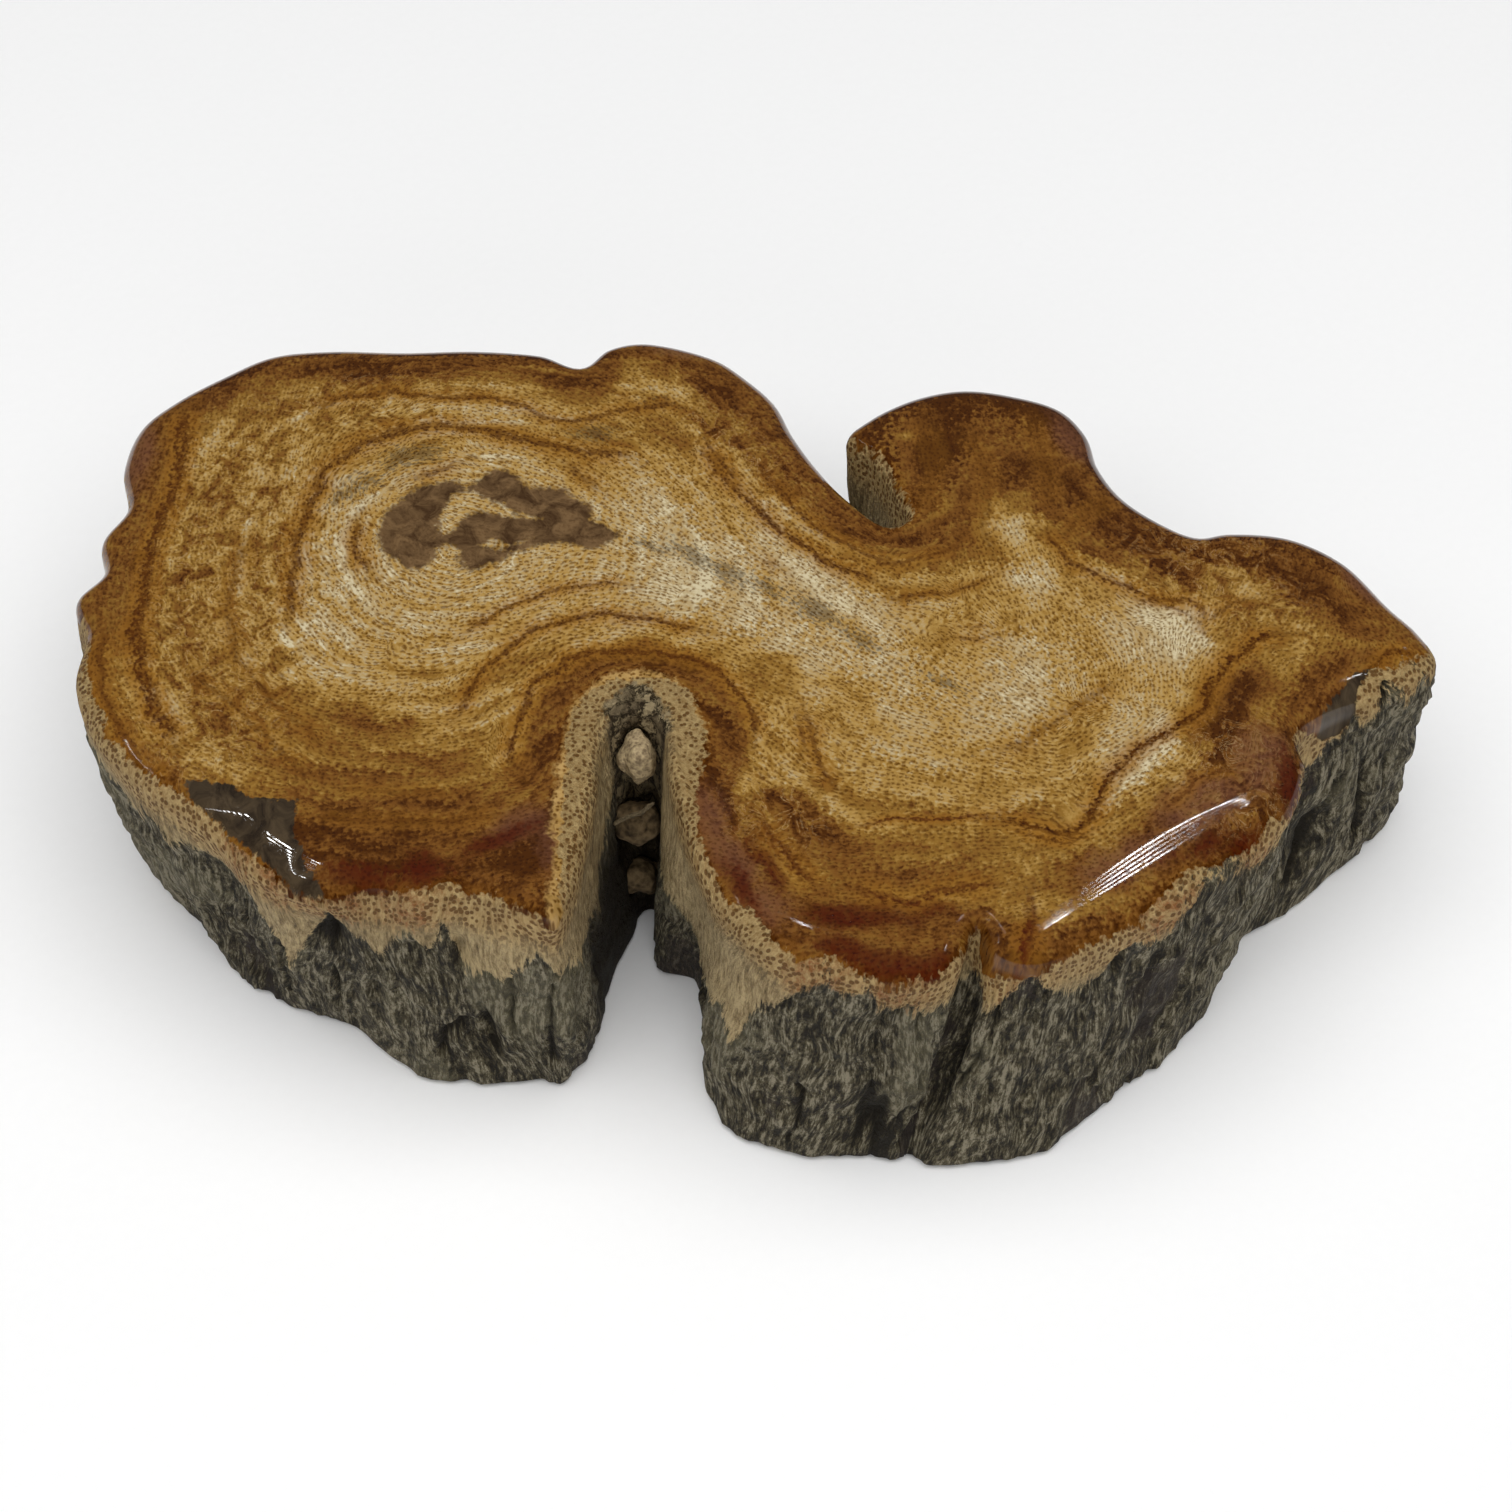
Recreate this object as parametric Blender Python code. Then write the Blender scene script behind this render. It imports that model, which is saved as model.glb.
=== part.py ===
"""A freeform slice of petrified wood, about 147 x 92 x 34 mm, with what is lodged in its front cleft.

Frame: +Z up, +X along the slice's length, -Y towards the side with the cleft. The origin is the
middle of the bounding box's underside, and the sawn underside lies on z = 0. The sizes below are in
millimetres, and MM turns them into metres.
"""

import bmesh
import bpy
import numpy as np

MM = 0.001
THICKNESS = 34.0
STATIONS = 264
POLISH_STEPS = 4
WALL_STEPS = 8
FOOT_CHIP = 0.8
RIDGE_DEPTH = 0.9
FURROW_DEPTH = 0.5
GAP = 0.3

# The plan position that becomes x = 0, y = 0.
PLAN_CENTRE = (0.4, 0.2)

# One row for each turn of the outline, anticlockwise from the left end: the rim's x and y, how far the
# foot of the wall stands from the rim in x and y, and the width of the polished rounding.
OUTLINE = (
    # Left end and front of the left lobe.
    (-73.3, 5.6, 0.5, -0.8, 2.6),
    (-71.6, 0.8, 0.2, -0.3, 2.2),
    (-71.8, -5.6, 2.8, -0.2, 3.0),
    (-68.6, -13.2, 4.0, 1.6, 4.0),
    (-62.8, -19.0, 3.2, 1.0, 6.0),
    (-56.8, -23.4, 1.2, 0.2, 7.5),
    (-51.2, -28.8, 0.6, 3.0, 8.5),
    (-46.6, -31.8, -0.2, 4.8, 6.8),
    (-42.6, -33.3, -1.0, 5.2, 4.4),
    (-38.2, -32.2, -0.2, -0.9, 3.5),
    (-33.6, -33.8, 0.2, -1.6, 3.5),
    (-28.6, -33.3, 0.8, -2.4, 3.0),
    (-23.8, -34.8, 0.6, -0.4, 2.6),
    (-19.8, -36.4, -0.6, 1.2, 2.2),
    # Left wall of the front cleft.
    (-18.0, -32.6, 0.0, 0.6, 2.0),
    (-16.8, -26.3, 0.2, -1.3, 1.8),
    (-16.0, -19.9, 0.6, -1.7, 1.4),
    (-15.5, -14.2, 2.1, -1.8, 1.0),
    # Inner end of the cleft, closed by grey matrix.
    (-13.4, -10.6, 1.0, -2.4, 0.8),
    (-10.4, -10.4, -0.6, -2.2, 0.8),
    # Right wall of the cleft, with a knob at its foot.
    (-9.2, -13.2, -1.8, -2.0, 1.0),
    (-8.8, -18.2, -2.2, 0.4, 1.2),
    (-7.4, -23.4, -2.8, 2.4, 1.6),
    (-6.3, -27.6, -0.4, 5.8, 2.0),
    (-4.8, -31.6, -0.8, 4.6, 2.6),
    (-2.5, -36.0, -2.8, 1.6, 3.2),
    # Front of the right lobe, split by a narrow crack.
    (0.5, -39.1, -3.8, -1.4, 3.6),
    (4.9, -41.6, -3.8, -1.8, 4.0),
    (10.8, -43.0, -3.6, -1.9, 4.0),
    (15.4, -43.9, -2.8, -1.4, 3.4),
    (20.0, -42.4, -3.8, -2.5, 2.2),
    (22.3, -37.2, -5.4, -7.2, 1.2),
    (23.9, -40.6, -5.2, -5.0, 2.0),
    (27.8, -41.6, -3.4, -4.0, 3.6),
    (34.4, -38.7, -3.2, -5.4, 6.0),
    (41.4, -34.6, -3.2, -3.2, 8.0),
    (48.4, -29.3, -4.2, -4.2, 7.5),
    (54.4, -23.8, -5.0, -3.4, 5.0),
    (57.4, -17.4, -7.0, -4.6, 3.0),
    (57.3, -13.0, -2.8, -3.4, 2.2),
    (62.2, -9.0, -1.8, -4.0, 3.0),
    (67.0, -7.6, -0.2, 1.0, 4.4),
    # Right end and back of the right lobe.
    (71.0, -5.2, -0.4, 2.6, 5.0),
    (73.2, -2.2, 0.2, 3.0, 4.0),
    (71.8, 1.4, 1.2, 3.8, 3.0),
    (69.2, 4.8, 1.8, 3.8, 2.8),
    (64.8, 11.5, 1.2, 1.8, 3.0),
    (59.1, 15.2, 0.3, 1.0, 3.0),
    (52.4, 15.9, 0.6, -0.9, 3.0),
    (49.0, 15.3, -0.4, -1.3, 2.6),
    (45.9, 16.9, -0.9, -1.5, 2.6),
    (41.5, 21.0, -0.5, -1.4, 3.0),
    # Back lobe, with the tip that overhangs the notch.
    (39.0, 26.0, -0.2, -1.0, 3.0),
    (38.0, 30.9, 0.2, -0.7, 3.0),
    (35.3, 34.8, 0.5, -0.2, 3.0),
    (29.6, 37.2, 0.6, 0.4, 3.0),
    (23.9, 38.0, 0.1, 0.8, 3.0),
    (18.1, 36.4, -0.9, 0.6, 2.8),
    (12.9, 32.8, -0.7, 0.4, 2.2),
    (10.6, 29.6, 2.2, -0.8, 1.4),
    # Both walls of the back notch.
    (13.4, 26.4, -1.2, -1.4, 1.2),
    (15.6, 21.8, -2.6, -1.4, 1.2),
    (16.9, 17.2, -2.4, -2.0, 1.0),
    (15.0, 16.2, -2.2, -2.0, 1.0),
    (10.8, 20.4, -1.4, -1.4, 1.8),
    (7.4, 25.6, -1.0, -1.2, 2.4),
    (4.7, 30.9, -0.7, -0.9, 2.8),
    # Back of the left lobe, with a scallop in its edge.
    (2.8, 35.7, -0.8, -0.3, 3.0),
    (-0.2, 39.5, -0.6, 0.3, 3.0),
    (-4.3, 43.1, -0.1, 0.3, 3.0),
    (-12.6, 45.6, 0.0, -0.6, 3.0),
    (-17.0, 44.3, -0.1, -0.6, 2.4),
    (-19.8, 41.4, -0.6, 0.2, 1.8),
    (-24.2, 43.4, -0.8, 0.4, 2.6),
    (-31.6, 44.4, -0.8, 0.6, 3.0),
    (-40.6, 44.2, -0.4, -0.6, 3.0),
    (-49.1, 44.4, -0.3, -1.6, 3.0),
    (-55.8, 43.4, -0.2, -1.4, 3.0),
    (-61.2, 40.0, 0.8, -1.0, 3.0),
    (-66.2, 36.0, 0.7, -0.9, 3.0),
    (-69.6, 31.8, 0.6, -1.0, 3.0),
    (-70.7, 25.6, 0.3, -0.7, 2.8),
    (-69.5, 19.2, 0.4, -0.8, 1.8),
    (-71.6, 14.2, 0.4, -0.8, 2.2),
    (-70.9, 9.6, 0.2, -0.6, 1.8),
)

# Pits in the bark: the middle's plan x, y and height, the spread sideways and in height, and the depth.
PITS = (
    (-29.9, -33.4, 24.2, 1.7, 2.6, 2.4),
    (-43.0, -32.0, 23.2, 3.2, 4.5, 1.8),
    (-28.0, -34.6, 10.3, 1.4, 3.6, 1.8),
    (-12.0, -12.0, 14.0, 3.0, 2.2, 2.5),
    (60.0, -11.5, 12.0, 3.5, 7.0, 1.2),
)

# Lumps wedged in the cleft: name, plan centre and height, half-axes, seed, colour and roughness.
LUMPS = (
    ("cleft_pebble", (-12.1, -12.3, 28.2), (2.1, 2.5, 3.3), 11, (0.42, 0.32, 0.23), 0.7),
    ("cleft_clod_upper", (-12.4, -13.3, 18.2), (2.5, 2.3, 2.9), 23, (0.20, 0.15, 0.10), 0.9),
    ("cleft_clod_lower", (-12.6, -13.0, 8.2), (2.4, 2.3, 2.3), 37, (0.15, 0.12, 0.08), 0.9),
)
LUMP_ROUGHNESS = 0.22

# A dead rootlet lies across the cleft, under the pebble.
ROOTLET_ROUTE = ((-14.7, -17.0, 22.8), (-13.3, -16.4, 23.4), (-11.8, -16.0, 23.6), (-10.4, -15.6, 24.8))
ROOTLET_RADIUS = 0.35


def clear_scene():
    """Removes whatever the file opened with."""
    for thing in list(bpy.data.objects):
        bpy.data.objects.remove(thing, do_unlink=True)


def new_collection(name):
    collection = bpy.data.collections.new(name)
    bpy.context.scene.collection.children.link(collection)
    return collection


def stone_material(name, colour, roughness):
    """A plain mineral finish."""
    material = bpy.data.materials.new(name)
    material.use_nodes = True
    shader = material.node_tree.nodes["Principled BSDF"]
    shader.inputs["Base Color"].default_value = (*colour, 1.0)
    shader.inputs["Roughness"].default_value = roughness
    shader.inputs["Metallic"].default_value = 0.0
    return material


def corner_value(i, j, k):
    """A repeatable number from -1 to 1 for each corner of a whole-number lattice."""
    mixed = (i * 73856093) ^ (j * 19349663) ^ (k * 83492791)
    mixed = ((mixed ^ (mixed >> 13)) * 1274126177) & 0xFFFFFFFF
    return ((mixed ^ (mixed >> 16)) & 0xFFFF) / 32767.5 - 1.0


def smooth_noise(points):
    """Lattice values blended smoothly between the corners, for an array of x, y, z."""
    cell = np.floor(points).astype(np.int64)
    part = points - cell
    part = part * part * (3.0 - 2.0 * part)
    total = np.zeros(len(points))
    for corner in np.ndindex(2, 2, 2):
        weight = np.prod(np.where(corner, part, 1.0 - part), axis=1)
        total += weight * corner_value(*(cell + corner).T)
    return total


def hermite(start, end, leave, arrive, u):
    """The cubic from start to end that leaves and arrives along the given slopes."""
    a = (1.0 + 2.0 * u) * (1.0 - u) ** 2
    b = u * (1.0 - u) ** 2
    c = u * u * (3.0 - 2.0 * u)
    d = u * u * (u - 1.0)
    return a * start + b * leave + c * end + d * arrive


def closed_curve(rows, count, samples=24):
    """A smooth closed curve through the rows, as count rows spaced evenly along the rim."""
    here = np.array(rows, float)
    before, after, beyond = (np.roll(here, step, axis=0) for step in (1, -1, -2))
    reach = np.sqrt(np.linalg.norm((after - here)[:, :2], axis=1))[:, None]
    reach_before, reach_beyond = np.roll(reach, 1, axis=0), np.roll(reach, -1, axis=0)
    leave = (here - before) / reach_before - (after - before) / (reach_before + reach)
    leave = (leave + (after - here) / reach) * reach
    arrive = (after - here) / reach - (beyond - here) / (reach + reach_beyond)
    arrive = (arrive + (beyond - after) / reach_beyond) * reach
    steps = np.linspace(0.0, 1.0, samples, endpoint=False)
    curve = np.stack([hermite(here, after, leave, arrive, u) for u in steps], axis=1)
    curve = curve.reshape(-1, here.shape[1])
    curve = np.vstack([curve, curve[:1]])
    along = np.concatenate([[0.0], np.cumsum(np.linalg.norm(np.diff(curve[:, :2], axis=0), axis=1))])
    wanted = np.linspace(0.0, along[-1], count, endpoint=False)
    return np.stack([np.interp(wanted, along, column) for column in curve.T], axis=1)


def outward(loop):
    """Unit normals of a closed anticlockwise loop, averaged over the neighbours."""
    tangent = np.roll(loop, -2, axis=0) - np.roll(loop, 2, axis=0)
    tangent += np.roll(loop, -1, axis=0) - np.roll(loop, 1, axis=0)
    normal = np.stack([tangent[:, 1], -tangent[:, 0]], axis=1)
    return normal / np.linalg.norm(normal, axis=1, keepdims=True)


def eased(column):
    """Each station's value, averaged over its neighbours."""
    return sum(np.roll(column, step, axis=0) for step in range(-3, 4)) / 7.0


def wall_relief(points):
    """Upright bark ridges and furrows: noise drawn out along the height."""
    ridges = smooth_noise(points / (6.0, 6.0, 30.0))
    furrows = smooth_noise(points / (3.1, 3.1, 16.0) + 40.0)
    return RIDGE_DEPTH * ridges + FURROW_DEPTH * furrows


def pit_depth(points):
    """How far the pits sink the wall: a bell-shaped hollow at each one."""
    depth = np.zeros(len(points))
    for x, y, z, spread, height, deepest in PITS:
        away = (points - (x - PLAN_CENTRE[0], y - PLAN_CENTRE[1], z)) / (spread, spread, height)
        depth += deepest * np.exp(-np.sum(away * away, axis=1))
    return depth


def slice_rings():
    """The rings of the slice from the top face down to the underside, each an array of x, y, z.

    The rounding is a quarter ellipse from the top face down to the rim. The wall then runs from the
    rim to the foot in a straight line, with the relief fading in below the rim.
    """
    stations = closed_curve(OUTLINE, STATIONS)
    rim = stations[:, :2] - PLAN_CENTRE
    foot = rim + stations[:, 2:4]
    width = eased(stations[:, 4:])
    normal = outward(rim)
    drop = 2.0 + 0.28 * width
    rings = []
    for turn in np.linspace(0.0, np.pi / 2, POLISH_STEPS, endpoint=False):
        plan = rim - normal * width * (1.0 - np.sin(turn))
        rings.append(np.hstack([plan, THICKNESS - drop * (1.0 - np.cos(turn))]))
    for t in np.linspace(0.0, 1.0, WALL_STEPS + 1):
        plan = rim + (foot - rim) * t
        height = (THICKNESS - drop) * (1.0 - t) + FOOT_CHIP * t
        points = np.hstack([plan, height])
        relief = wall_relief(points) * calm(stations) - pit_depth(points)
        points[:, :2] += normal * (relief * min(1.0, 4.0 * t))[:, None]
        rings.append(points)
    underside = rings[-1] - np.hstack([normal * FOOT_CHIP, np.full_like(width, FOOT_CHIP)])
    rings.append(underside)
    return rings


def calm(stations):
    """How much relief a station takes: little in the cleft, the notch and the crack."""
    return np.clip((stations[:, 4] - 0.6) / 2.4, 0.2, 1.0)


def slice_body(collection, material):
    """The slice: rings joined by strips of triangles, closed by its flat top and its sawn underside."""
    rings = slice_rings()
    shape = bmesh.new()
    loops = [[shape.verts.new(point * MM) for point in ring] for ring in rings]
    for upper, lower in zip(loops, loops[1:]):
        for i in range(STATIONS):
            j = (i + 1) % STATIONS
            shape.faces.new((upper[i], lower[i], lower[j], upper[j]))
    shape.faces.new(loops[0])
    shape.faces.new(reversed(loops[-1]))
    walls = [face for face in shape.faces if len(face.verts) == 4]
    bmesh.ops.triangulate(shape, faces=walls)
    return finish_mesh(shape, "slice", collection, material)


def finish_mesh(shape, name, collection, material):
    """Writes the bmesh to a new object."""
    mesh = bpy.data.meshes.new(name)
    shape.to_mesh(mesh)
    shape.free()
    mesh.materials.append(material)
    thing = bpy.data.objects.new(name, mesh)
    collection.objects.link(thing)
    return thing


def lump(name, centre, half_axes, seed, spare, collection, material):
    """A rough pebble or clod: a ball stretched to its half-axes and dented, and spare mm larger all over."""
    shape = bmesh.new()
    bmesh.ops.create_icosphere(shape, subdivisions=3, radius=1.0)
    ball = np.array([vert.co for vert in shape.verts])
    dents = 1.0 + LUMP_ROUGHNESS * smooth_noise(ball * 1.6 + seed)
    spot = np.array(centre) - (*PLAN_CENTRE, 0.0)
    places = spot + ball * (np.array(half_axes) * dents[:, None] + spare)
    for vert, place in zip(shape.verts, places):
        vert.co = place * MM
    return finish_mesh(shape, name, collection, material)


def lodged_lumps(slice_object, parts, cutters):
    """The lumps, each in a socket that clears it by the gap."""
    for name, centre, half_axes, seed, colour, roughness in LUMPS:
        material = stone_material(name, colour, roughness)
        lump(name, centre, half_axes, seed, 0.0, parts, material)
        cutter = lump(name + "_socket", centre, half_axes, seed, GAP, cutters, material)
        cut(slice_object, cutter)


def cut(target, cutter):
    """Takes the cutter's shape out of the target."""
    cutter.hide_render = True
    cutter.display_type = "WIRE"
    socket = target.modifiers.new(cutter.name, "BOOLEAN")
    socket.operation = "DIFFERENCE"
    socket.solver = "EXACT"
    socket.object = cutter


def rootlet(collection):
    """A thin round rod on a curve through the route's points."""
    curve = bpy.data.curves.new("rootlet", "CURVE")
    curve.dimensions = "3D"
    curve.bevel_depth = ROOTLET_RADIUS * MM
    curve.bevel_resolution = 1
    curve.use_fill_caps = True
    line = curve.splines.new("POLY")
    line.points.add(len(ROOTLET_ROUTE) - 1)
    for point, (x, y, z) in zip(line.points, ROOTLET_ROUTE):
        point.co = ((x - PLAN_CENTRE[0]) * MM, (y - PLAN_CENTRE[1]) * MM, z * MM, 1.0)
    curve.materials.append(stone_material("rootlet", (0.24, 0.21, 0.16), 0.85))
    thing = bpy.data.objects.new("rootlet", curve)
    collection.objects.link(thing)
    return thing


def main():
    clear_scene()
    parts = new_collection("petrified_wood_slice")
    cutters = new_collection("cutters")
    cutters.hide_render = True
    body = slice_body(parts, stone_material("petrified_wood", (0.32, 0.19, 0.07), 0.35))
    lodged_lumps(body, parts, cutters)
    rootlet(parts)


main()
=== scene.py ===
"""A slice of petrified wood with a polished top and rough bark walls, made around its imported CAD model.

Frame: +Z up, +X along the slice's length, -Y towards the side with the cleft, origin in the middle of
the underside. The tables below are in millimetres, and MM turns them into metres. OUTLINE, PITS, LUMPS
and ROOTLET_ROUTE are in the plan that the CAD model was drawn in, where PLAN_CENTRE is the place that
becomes x = 0, y = 0. Every other table is in the frame itself.
"""

from functools import partial
from math import cos, pi, radians, sin
from types import SimpleNamespace

import bpy
import numpy as np
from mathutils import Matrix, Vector
from mathutils.geometry import delaunay_2d_cdt


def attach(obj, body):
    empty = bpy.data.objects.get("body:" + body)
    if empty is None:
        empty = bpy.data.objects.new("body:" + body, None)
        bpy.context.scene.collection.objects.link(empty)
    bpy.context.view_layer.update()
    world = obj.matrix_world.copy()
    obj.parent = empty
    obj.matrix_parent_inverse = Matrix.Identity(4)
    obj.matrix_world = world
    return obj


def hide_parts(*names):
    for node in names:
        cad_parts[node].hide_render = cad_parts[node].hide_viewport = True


bl_info = {
    "name": "Petrified Wood Slice",
    "version": (1, 0, 0),
    "blender": (4, 5, 0),
    "location": "View3D > Sidebar > Petrified Wood",
    "description": "Makes a polished slice of petrified wood with bark walls and lumps in its cleft",
    "category": "Add Mesh",
}

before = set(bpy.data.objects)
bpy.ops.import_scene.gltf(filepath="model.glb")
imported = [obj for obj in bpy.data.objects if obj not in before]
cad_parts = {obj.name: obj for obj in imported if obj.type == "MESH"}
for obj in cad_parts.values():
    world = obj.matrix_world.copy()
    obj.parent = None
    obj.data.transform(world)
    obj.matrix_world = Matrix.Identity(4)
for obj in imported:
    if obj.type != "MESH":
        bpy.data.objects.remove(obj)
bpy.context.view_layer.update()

MM = 0.001
THICKNESS = 34.0
FOOT_CHIP = 0.8
PLAN_CENTRE = (0.4, 0.2)

# How finely the slice is divided: round the rim, over the rounding, down the wall, and mm on the faces.
STATIONS = 960
BEVEL_STEPS = 10
WALL_STEPS = 56
TOP_SPACING = 0.66
UNDERSIDE_SPACING = 5.0

# One row for each turn of the outline, anticlockwise from the left end: the rim's x and y, how far the
# foot of the wall stands from the rim in x and y, and the width of the polished rounding.
OUTLINE = (
    (-73.3, 5.6, 0.5, -0.8, 2.6), (-71.6, 0.8, 0.2, -0.3, 2.2), (-71.8, -5.6, 2.8, -0.2, 2.2),
    (-68.6, -13.2, 4.0, 1.6, 2.6), (-62.8, -19.0, 3.2, 1.0, 4.4), (-56.8, -23.4, 1.2, 0.2, 7.2),
    (-51.2, -28.8, 0.6, 3.0, 8.5), (-46.6, -31.8, -0.2, 4.8, 6.8), (-42.6, -33.3, -1.0, 5.2, 4.4),
    (-38.2, -32.2, -0.2, -0.9, 3.5), (-33.6, -33.8, 0.2, -1.6, 3.5), (-28.6, -33.3, 0.8, -2.4, 3.0),
    (-23.8, -34.8, 0.6, -0.4, 2.6), (-19.8, -36.4, -0.6, 1.2, 2.2), (-18.0, -32.6, 0.0, 0.6, 2.0),
    (-16.8, -26.3, 0.2, -1.3, 1.8), (-16.0, -19.9, 0.6, -1.7, 1.4), (-15.5, -14.2, 2.1, -1.8, 1.0),
    (-13.4, -10.6, 1.0, -2.4, 0.8), (-10.4, -10.4, -0.6, -2.2, 0.8), (-9.2, -13.2, -1.8, -2.0, 1.0),
    (-8.8, -18.2, -2.2, 0.4, 1.2), (-7.4, -23.4, -2.8, 2.4, 1.6), (-6.3, -27.6, -0.4, 5.8, 2.0),
    (-4.8, -31.6, -0.8, 4.6, 2.6), (-2.5, -36.0, -2.8, 1.6, 3.2), (0.5, -39.1, -3.8, -1.4, 3.6),
    (4.9, -41.6, -3.8, -1.8, 4.0), (10.8, -43.0, -3.6, -1.9, 4.0), (15.4, -43.9, -2.8, -1.4, 3.4),
    (20.0, -42.4, -3.8, -2.5, 2.2), (22.3, -37.2, -5.4, -7.2, 1.2), (23.9, -40.6, -5.2, -5.0, 2.0),
    (27.8, -41.6, -3.4, -4.0, 3.6), (34.4, -38.7, -3.2, -5.4, 6.0), (41.4, -34.6, -3.2, -3.2, 8.0),
    (48.4, -29.3, -4.2, -4.2, 7.5), (54.4, -23.8, -5.0, -3.4, 5.0), (57.4, -17.4, -7.0, -4.6, 3.0),
    (57.3, -13.0, -2.8, -3.4, 2.2), (62.2, -9.0, -1.8, -4.0, 3.0), (67.0, -7.6, -0.2, 1.0, 4.4),
    (71.0, -5.2, -0.4, 2.6, 5.0), (73.2, -2.2, 0.2, 3.0, 4.0), (71.8, 1.4, 1.2, 3.8, 3.0),
    (69.2, 4.8, 1.8, 3.8, 2.8), (64.8, 11.5, 1.2, 1.8, 3.0), (59.1, 15.2, 0.3, 1.0, 3.0),
    (52.4, 15.9, 0.6, -0.9, 3.0), (49.0, 15.3, -0.4, -1.3, 2.6), (45.9, 16.9, -0.9, -1.5, 2.6),
    (41.5, 21.0, -0.5, -1.4, 3.0), (39.0, 26.0, -0.2, -1.0, 3.0), (38.0, 30.9, 0.2, -0.7, 3.0),
    (35.3, 34.8, 0.5, -0.2, 3.0), (29.6, 37.2, 0.6, 0.4, 3.0), (23.9, 38.0, 0.1, 0.8, 3.0),
    (18.1, 36.4, -0.9, 0.6, 2.8), (12.9, 32.8, -0.7, 0.4, 2.2), (10.6, 29.6, 2.2, -0.8, 1.4),
    (13.4, 26.4, -1.2, -1.4, 1.2), (15.6, 21.8, -2.6, -1.4, 1.2), (16.9, 17.2, -2.4, -2.0, 1.0),
    (15.0, 16.2, -2.2, -2.0, 1.0), (10.8, 20.4, -1.4, -1.4, 1.8), (7.4, 25.6, -1.0, -1.2, 2.4),
    (4.7, 30.9, -0.7, -0.9, 2.8), (2.8, 35.7, -0.8, -0.3, 3.0), (-0.2, 39.5, -0.6, 0.3, 3.0),
    (-4.3, 43.1, -0.1, 0.3, 3.0), (-12.6, 45.6, 0.0, -0.6, 3.0), (-17.0, 44.3, -0.1, -0.6, 2.4),
    (-19.8, 41.4, -0.6, 0.2, 1.8), (-24.2, 43.4, -0.8, 0.4, 2.6), (-31.6, 44.4, -0.8, 0.6, 3.0),
    (-40.6, 44.2, -0.4, -0.6, 3.0), (-49.1, 44.4, -0.3, -1.6, 3.0), (-55.8, 43.4, -0.2, -1.4, 3.0),
    (-61.2, 40.0, 0.8, -1.0, 3.0), (-66.2, 36.0, 0.7, -0.9, 3.0), (-69.6, 31.8, 0.6, -1.0, 3.0),
    (-70.7, 25.6, 0.3, -0.7, 2.8), (-69.5, 19.2, 0.4, -0.8, 1.8), (-71.6, 14.2, 0.4, -0.8, 2.2),
    (-70.9, 9.6, 0.2, -0.6, 1.8),
)

# Pits in the bark: plan x, y and height, the spread sideways and in height, and the depth.
PITS = (
    (-29.9, -33.4, 24.2, 1.1, 2.8, 1.9), (-43.0, -32.0, 23.2, 2.8, 4.5, 1.4),
    (-28.0, -34.6, 10.3, 1.2, 3.6, 1.2), (-12.0, -12.0, 14.0, 3.0, 2.2, 2.5),
    (60.0, -11.5, 12.0, 3.5, 7.0, 1.2),
)

# Narrow cracks down the wall: the route's points, the width and the depth.
CRACKS = (
    (((21.9, -39.5, 33.0), (21.2, -41.0, 25.0), (21.0, -41.8, 19.2), (18.6, -43.4, 11.0),
      (15.8, -45.0, 3.1)), 0.7, 1.5),
    (((-30.4, -33.0, 25.5), (-30.1, -33.6, 21.0)), 0.8, 1.6),
    (((-28.6, -34.4, 13.6), (-28.5, -34.9, 7.4)), 0.45, 1.4),
    (((-12.0, -37.0, 24.0), (-12.0, -37.5, 12.0)), 0.5, 0.8),
)

# Where the polish ends: mm along the rim from the left end, anticlockwise, and mm in from the rim.
# Below zero it is mm down the wall.
POLISH_EDGE = (
    (0, -0.4), (8, 1.3), (13, 1.7), (18, 1.6), (22, 0.8), (28, 1.2), (32, 1.3), (34, 0.8), (38, 0.9),
    (43, 1.2), (46, 0.8), (49, 0.2), (55, 0.0), (60, 0.0), (64, 1.1), (66, 1.1), (70, 0.2), (76, 0.1),
    (77, -0.6), (81, 1.6), (86, 2.3), (93, 3.3), (99, 3.5), (104, 4.5), (107, 4.4), (115, 3.9),
    (118, 2.7), (120, 1.6), (124, 1.2), (130, 0.9), (133, 1.0), (136, 2.3), (140, 1.3), (143, 0.7),
    (147, 1.2), (150, 0.4), (155, 0.1), (159, 0.7), (163, 0.3), (166, 0.1), (168, -2.3), (172, -0.8),
    (176, 0.1), (181, 0.5), (185, 0.3), (189, 1.5), (194, 1.9), (198, 1.1), (200, 0.3), (205, 1.0),
    (206, 0.0), (214, 0.3), (218, 0.5), (220, -0.8), (221.5, -2.8), (224, -3.0), (226, 1.2), (228, 3.0),
    (234, 2.6), (238, 1.4), (242, -0.8), (260, -1.2), (280, -0.8), (300, -1.4), (318, -0.6), (324, 0.8),
    (338, 0.9), (346, 0.2), (358, -1.0), (380, -1.4), (391, -0.3), (410, -1.2), (430, -1.0),
    (446, -1.0), (456, -0.2), (459, 0.5), (463, -0.3), (468, -0.6),
)

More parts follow.
